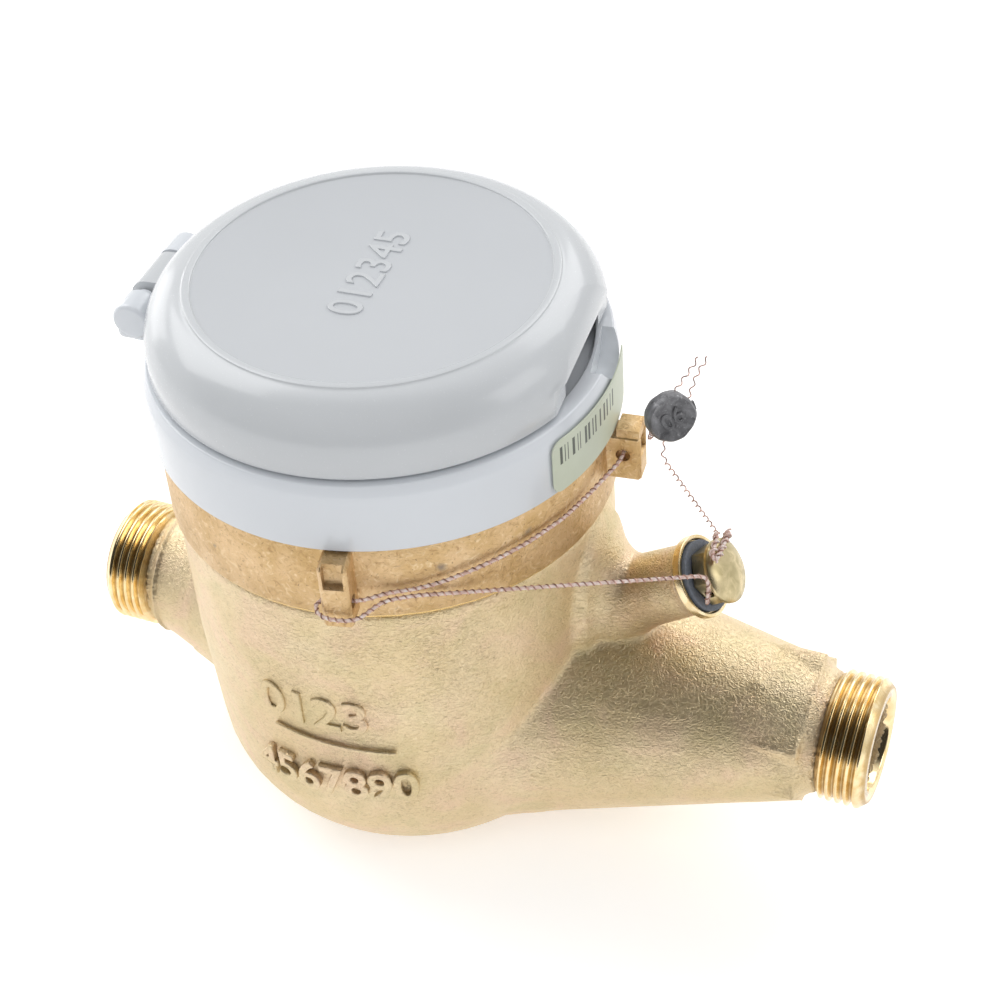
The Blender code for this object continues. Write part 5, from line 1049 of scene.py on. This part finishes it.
def wire_route():
    """Three stretches: seal to lug B, bare; round the head to the plug, wound; plug to seal, bare."""
    lug_a, lug_b = LUG_AZIMUTHS
    level_a, level_b = LUG_HOLE_LEVELS
    outside_a, outside_b = [RING_RADIUS + reach + 1.1 * MM for reach in LUG_REACHES]
    beside = LUG_WIDTH / 2 + 1.4 * MM
    hole = RING_RADIUS + 3.0 * MM
    offset = 1.3 * MM
    end = SEAL_RADIUS + 1.4 * MM
    tail = SEAL_RADIUS + 8.2 * MM
    first = [
        seal_point(-0.45 * MM, tail - 1 * MM),
        seal_point(-0.75 * MM, end + 2.6 * MM),
        seal_point(-offset, end),
        seal_point(-offset, -end),
        around_head(lug_b, outside_b + 1.6 * MM, level_b + 9.0 * MM, 0.0),
        around_head(lug_b, outside_b + 0.4 * MM, level_b + 3.5 * MM, beside - 0.6 * MM),
        around_head(lug_b, hole + 1.6 * MM, level_b + 0.6 * MM, beside + 1.2 * MM),
        around_head(lug_b, hole, level_b, beside),
    ]
    middle = [first[-1], around_head(lug_b, hole, level_b, -beside)]
    middle += on_ring(FACE_ROUTE)
    middle += [
        around_head(lug_a, hole, level_a, beside),
        around_head(lug_a, hole, level_a, -beside),
        around_head(lug_a, hole + 1.6 * MM, level_a - 0.9 * MM, -beside - 0.5 * MM),
        around_head(lug_a, outside_a, level_a - 1.6 * MM, -beside + 1.2 * MM),
        around_head(lug_a, outside_a + 0.1 * MM, level_a - 1.9 * MM, 0.0),
        around_head(lug_a, outside_a - 0.2 * MM, level_a - 2.0 * MM, beside - 0.4 * MM),
    ]
    middle += on_ring(LOWER_ROUTE)
    across = PLUG_HOLE_REACH * math.cos(PLUG_HOLE_TURN)
    up = PLUG_HOLE_REACH * math.sin(PLUG_HOLE_TURN)
    middle += [
        at_plug(-6.6, 4.1, 5.9),
        at_plug(-7.4, 1.2, 4.6),
        at_plug(-across, -up, PLUG_HOLE_LEVEL),
        at_plug(across, up, PLUG_HOLE_LEVEL),
        at_plug(7.5, 3.6, 4.0),
    ]
    middle += [at_plug(*spot) for spot in BUNDLE_ROUTE]
    last = [
        middle[-1],
        seal_point(offset + 1.2 * MM, -end - 1.6 * MM, 0.4 * MM),
        seal_point(offset, -end),
        seal_point(offset, end),
        seal_point(0.55 * MM, end + 2.6 * MM),
        seal_point(1.05 * MM, tail),
    ]
    return first, middle, last


def resample(points):
    """Evenly spaced points along straight runs, with light smoothing of the bends."""
    result = []
    for start, end in zip(points, points[1:]):
        count = max(1, int((end - start).length / WIRE_STEP))
        result += [start.lerp(end, i / count) for i in range(count)]
    result.append(points[-1])
    for _ in range(3):
        middle = [(a + 2 * b + c) / 4 for a, b, c in zip(result, result[1:], result[2:])]
        result = [result[0]] + middle + [result[-1]]
    return result


def tube(name, points, radius, resolution=2):
    curve = bpy.data.curves.new(name, "CURVE")
    curve.dimensions = "3D"
    curve.bevel_depth = radius
    curve.bevel_resolution = resolution
    curve.use_fill_caps = True
    spline = curve.splines.new("POLY")
    spline.points.add(len(points) - 1)
    for point, spot in zip(spline.points, points):
        point.co = (*spot, 1.0)
    return link(bpy.data.objects.new(name, curve))


def coil(points, radius, pitch):
    """Points of a helix wound along a line."""
    steps = 10 if FINE else 6
    result = []
    travelled = 0.0
    side = Vector((0.31, 0.52, 0.79))
    for start, end in zip(points, points[1:]):
        run = (end - start).length
        along = (end - start) / run
        side = (side - along * side.dot(along)).normalized()
        other = along.cross(side)
        count = max(1, int(run / pitch * steps))
        for i in range(count):
            angle = 2 * math.pi * (travelled + run * i / count) / pitch
            spot = start.lerp(end, i / count)
            result.append(spot + (side * math.cos(angle) + other * math.sin(angle)) * radius)
        travelled += run
    return result


def sealing_wire(core_material, copper_material):
    """A clear core wound with copper, bare curled strands at the seal and a bundle at the plug."""
    first, middle, last = [resample(route) for route in wire_route()]
    bundle = resample([at_plug(*spot) for spot in BUNDLE_ROUTE])
    core = paint_with(tube("wire_core", middle, 0.34 * MM), core_material)
    pieces = [core]
    for name, route, radius, pitch, strand, material in (
            ("wire_winding", middle, 0.38, 1.4, 0.15, copper_material),
            ("wire_bare_lug", first, 0.32, 2.1, 0.12, copper_material),
            ("wire_bare_plug", last, 0.32, 2.1, 0.12, copper_material),
            ("wire_bundle", bundle, 0.60, 2.0, 0.2, core_material)):
        wound = tube(name, coil(route, radius * MM, pitch * MM), strand * MM, 1)
        pieces.append(paint_with(wound, material))
    for piece in pieces:
        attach(piece, "meter_body")
    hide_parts("seal_wire")


def lead_seal(material):
    """Squat lead drum, crimped out of round, with a burr at one side and a struck face."""
    thick = SEAL_THICKNESS / 2
    wide = SEAL_DRUM_RADIUS
    profile = [
        (0.0, -thick),
        (wide - 0.5 * MM, -thick),
        (wide, -thick + 0.45 * MM),
        (wide + 0.1 * MM, 0.0),
        (wide, thick - 0.5 * MM),
        (wide - 0.35 * MM, thick),
        (wide - 0.9 * MM, thick - 0.12 * MM),
        (0.0, thick - 0.15 * MM),
    ]
    seal = bake(lathe("crimped_seal", profile, 72))
    places = vertices(seal)
    turn = np.arctan2(places[:, 1], places[:, 0])
    swell = 1.0 + 0.020 * np.sin(2 * turn + 0.6) + 0.014 * np.sin(5 * turn + 1.0)
    swell += 0.008 * np.sin(11 * turn)
    places[:, :2] *= swell[:, None]
    places[:, 2] += 0.12 * MM * np.sin(3 * turn + 0.5) * np.hypot(places[:, 0], places[:, 1]) / wide
    set_vertices(seal, places)
    low = (wide - 0.8 * MM, -0.9 * MM, -0.5 * MM)
    burr = box("seal_burr", low, (wide + 0.55 * MM, 0.8 * MM, 0.25 * MM))
    bake(bevel(burr, 0.12 * MM, 2))
    join(seal, turned(burr, math.radians(22.0)))
    side = (CAMERA_RIGHT - SEAL_DRUM_NORMAL * CAMERA_RIGHT.dot(SEAL_DRUM_NORMAL)).normalized()
    axes = (side, SEAL_DRUM_NORMAL.cross(side), SEAL_DRUM_NORMAL)
    matrix = axes_matrix(axes, SEAL_CENTRE)
    settle(seal, matrix)
    smooth(seal, 40.0, material)
    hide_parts("lead_seal")
    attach(seal, "meter_body")
    mark = raised_text("seal_mark", "06", 4.4 * MM, 0.16 * MM, 0.10 * MM)
    matrix.translation = SEAL_CENTRE + SEAL_DRUM_NORMAL * (thick - 0.1 * MM)
    settle(mark, matrix @ Matrix.Rotation(math.radians(33.0), 4, "Z"))
    paint_with(mark, material)
    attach(mark, "meter_body")


# Print on the register's dial

# The pointers' circle and each one's ring of digits are in millimetres and degrees
DIAL_TOP = 98.02 * MM
FIRST_POINTER = -57.0
POINTER_STEP = 38.0
DIAL_RADIUS = 21.0
TICK_RADIUS = 6.2
DRUM_PITCH = 4.6
DRUM_RADIUS = 5.2 * MM
DRUM_AXLE_X = -12.5 * MM
DRUM_AXLE_Z = 91.5 * MM


def dial_marks(black, red):
    """The unit and a ring of ten digits round each pointer."""
    words = [("dial_unit", "m3", 3.2, (8.0, 14.5), black)]
    for number in range(4):
        angle = math.radians(FIRST_POINTER + POINTER_STEP * number)
        x = DIAL_RADIUS * math.cos(angle)
        y = DIAL_RADIUS * math.sin(angle)
        for tick in range(10):
            turn = 2 * math.pi * tick / 10
            spot = (x + TICK_RADIUS * math.cos(turn), y + TICK_RADIUS * math.sin(turn))
            words.append(("dial_%d_%d" % (number + 1, tick), str(tick), 1.7, spot, red))
    for name, text, size, spot, material in words:
        mark = raised_text(name, text, size * MM, 0.02 * MM, 0.0)
        place = Matrix.Translation((spot[0] * MM, spot[1] * MM, DIAL_TOP))
        settle(mark, place @ Matrix.Rotation(math.pi / 2, 4, "Z"))
        paint_with(mark, material)
        turned(mark)
        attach(mark, "register")


def drum_digits(white):
    """Ten digits wrapped round each number drum, as one piece."""
    for drum in range(5):
        merged = None
        for digit in range(10):
            mark = raised_text("figure", str(digit), 4.0 * MM, 0.03 * MM, 0.0)
            places = vertices(mark)
            angle = places[:, 1] / DRUM_RADIUS + 2 * math.pi * digit / 10
            reach = DRUM_RADIUS + places[:, 2]
            spots = (-reach * np.sin(angle), places[:, 0], reach * np.cos(angle))
            set_vertices(mark, np.column_stack(spots))
            if merged is None:
                merged = mark
            else:
                bm = bmesh.new()
                bm.from_mesh(merged.data)
                bm.from_mesh(mark.data)
                bm.to_mesh(merged.data)
                bm.free()
                bpy.data.objects.remove(mark)
        merged.name = "drum_figures_%d" % (drum + 1)
        place = (DRUM_AXLE_X, (drum - 2) * DRUM_PITCH * MM, DRUM_AXLE_Z)
        settle(merged, Matrix.Translation(place))
        paint_with(merged, white)
        turned(merged)
        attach(merged, "number_drum_%d" % (drum + 1))


# Studio

# Name, place, size, power, and whether a lamp shows in reflections
LIGHTS = (
    ("key", (-0.75, 0.15, 0.85), 0.70, 3.9, True),
    ("back", (0.25, 0.85, 0.75), 0.70, 3.4, True),
    ("left", (-0.95, 0.40, 0.22), 0.45, 1.2, True),
    ("right", (0.95, 0.10, 0.60), 0.50, 1.2, True),
    ("front", (0.10, -0.75, 0.75), 0.90, 3.4, False),
)
LAMP_AIM = Vector((0.0, 0.0, 0.06))
DIM_SIDE = Vector((0.05, -0.86, 0.50)).normalized()
FLOOR_REACH = 3.0
FLOOR_LIFT = 0.38
WHITE = (1.0, 1.0, 1.0, 1.0)
# From and to this share of the dim side, and the strength away from it and on it
DIFFUSE_SKY = (0.0, 0.8, 0.60, 0.42)
GLOSSY_SKY = (0.15, 0.60, 1.0, 0.04)


def floor_material():
    """White floor that keeps the shadow; a camera, reflected or refracted ray sees it lifted."""
    paint = Paint("floor_white", (0.90, 0.90, 0.90), 0.9)
    tint = paint.mix(paint.noise(0.4, 2.0), (0.89, 0.89, 0.89), (0.91, 0.91, 0.91))
    paint.feed(tint, "Base Color")
    path = paint.node("LightPath", {})
    seen = paint.math("MAXIMUM", path["Is Camera Ray"], path["Is Glossy Ray"])
    seen = paint.math("MAXIMUM", seen, path["Is Transmission Ray"])
    paint.set("Emission Color", WHITE)
    paint.feed(paint.math("MULTIPLY", seen, FLOOR_LIFT), "Emission Strength")
    return paint.material


def sky():
    """White surroundings that are dim on the camera's side, as in a small photo tent."""
    world = bpy.data.worlds.new("world")
    bpy.context.scene.world = world
    world.use_nodes = True
    tree = world.node_tree
    place = add_node(tree, "TexCoord", {})["Generated"]
    side = add_node(tree, "VectorMath", {0: place, 1: DIM_SIDE}, operation="DOT_PRODUCT")["Value"]
    levels = []
    for low, high, bright, dim in (DIFFUSE_SKY, GLOSSY_SKY):
        inputs = {"Value": side, "From Min": low, "From Max": high, "To Min": bright, "To Max": dim}
        ramp = add_node(tree, "MapRange", inputs, interpolation_type="SMOOTHSTEP")
        levels.append(ramp["Result"])
    value, glossy = levels
    path = add_node(tree, "LightPath", {})
    for ray, level in (
            ("Is Glossy Ray", glossy), ("Is Transmission Ray", 1.0), ("Is Camera Ray", 1.0)):
        value = add_node(tree, "Mix", {0: path[ray], 2: value, 3: level})[0]
    background = tree.nodes["Background"]
    tree.links.new(value, background.inputs["Strength"])
    background.inputs["Color"].default_value = WHITE


def studio():
    sky()
    bm = bmesh.new()
    bmesh.ops.create_grid(bm, x_segments=1, y_segments=1, size=FLOOR_REACH)
    floor = paint_with(from_bmesh("floor", bm), floor_material())
    for name, place, size, power, mirrored in LIGHTS:
        data = bpy.data.lights.new(name, "AREA")
        data.size = size
        data.energy = power
        light = link(bpy.data.objects.new(name, data))
        light.visible_glossy = mirrored
        light.location = place
        light.rotation_euler = (LAMP_AIM - Vector(place)).to_track_quat("-Z", "Y").to_euler()


def dress_nodes(rows):
    """Materials, smooth shading and edge bevels on the CAD pieces that are shown as they are."""
    for names, material, width in rows:
        for name in names:
            node = NODES[name]
            smooth(node, 35.0, material)
            if width:
                weld = node.modifiers.new("weld", "WELD")
                weld.merge_threshold = WELD_REACH
                bevel(node, width, 2)


def main():
    add_camera()
    brass = cast_brass()
    gold = machined_brass()
    threads = thread_brass()
    cast_body(brass)
    thread_piece("inlet_thread", INLET_REACH, -1, threads)
    thread_piece("outlet_thread", OUTLET_REACH, 1, threads)
    flange_rim(gold)
    cast_marks(brass)
    head_ring(ring_brass())
    hood(hood_plastic())
    lid(lid_plastic(), lid_satin())
    sealing_wire(wire_core(), wire_copper())
    lead_seal(seal_lead())
    white = plastic("chamber_white", (0.78, 0.78, 0.75), 0.4).material
    dark = plastic("moulded_dark", (0.06, 0.07, 0.08), 0.4).material
    blue = plastic("moulded_blue", (0.06, 0.16, 0.42), 0.35).material
    red = plastic("pointer_red", (0.62, 0.03, 0.02), 0.35).material
    grey = plastic("frame_grey", (0.60, 0.60, 0.57), 0.45).material
    pointers = ["pointer_%d" % i for i in range(1, 5)]
    gears = ["pointer_gear_%d" % i for i in range(1, 5)] + ["star_gear"]
    drums = ["number_drum_%d" % i for i in range(1, 6)]
    dress_nodes([
        (["regulator_plug"], plug_brass(), 0.2 * MM),
        (["regulating_screw", "pressure_cup"] + gears, gold, 0.0),
        (["plug_washer"], mottled("dark_fibre"), 0.2 * MM),
        (["strainer_basket", "seal_ring"] + drums, dark, 0.0),
        (["chamber_cup", "chamber_cover", "slip_ring"], white, 0.0),
        (["impeller"], blue, 0.0),
        (["drive_magnet", "driven_magnet"], mottled("ferrite_grey"), 0.0),
        (["impeller_pivot", "drum_axle", "hinge_pin", "register_can"], mottled("steel_rod"), 0.0),
        (["register_glass"], clear_glass(), 0.0),
        (["dial_face"], mottled("dial_print"), 0.0),
        (["gear_frame"], grey, 0.0),
        (pointers + ["star_wheel"], red, 0.0),
        (["label"], label_print(), 0.0),
    ])
    dial_marks(ink("ink_black", (0.03, 0.03, 0.03)), ink("ink_red", (0.55, 0.03, 0.02)))
    drum_digits(ink("ink_white", (0.85, 0.85, 0.84)))
    studio()


main()
bpy.context.scene.view_settings.view_transform = "Standard"
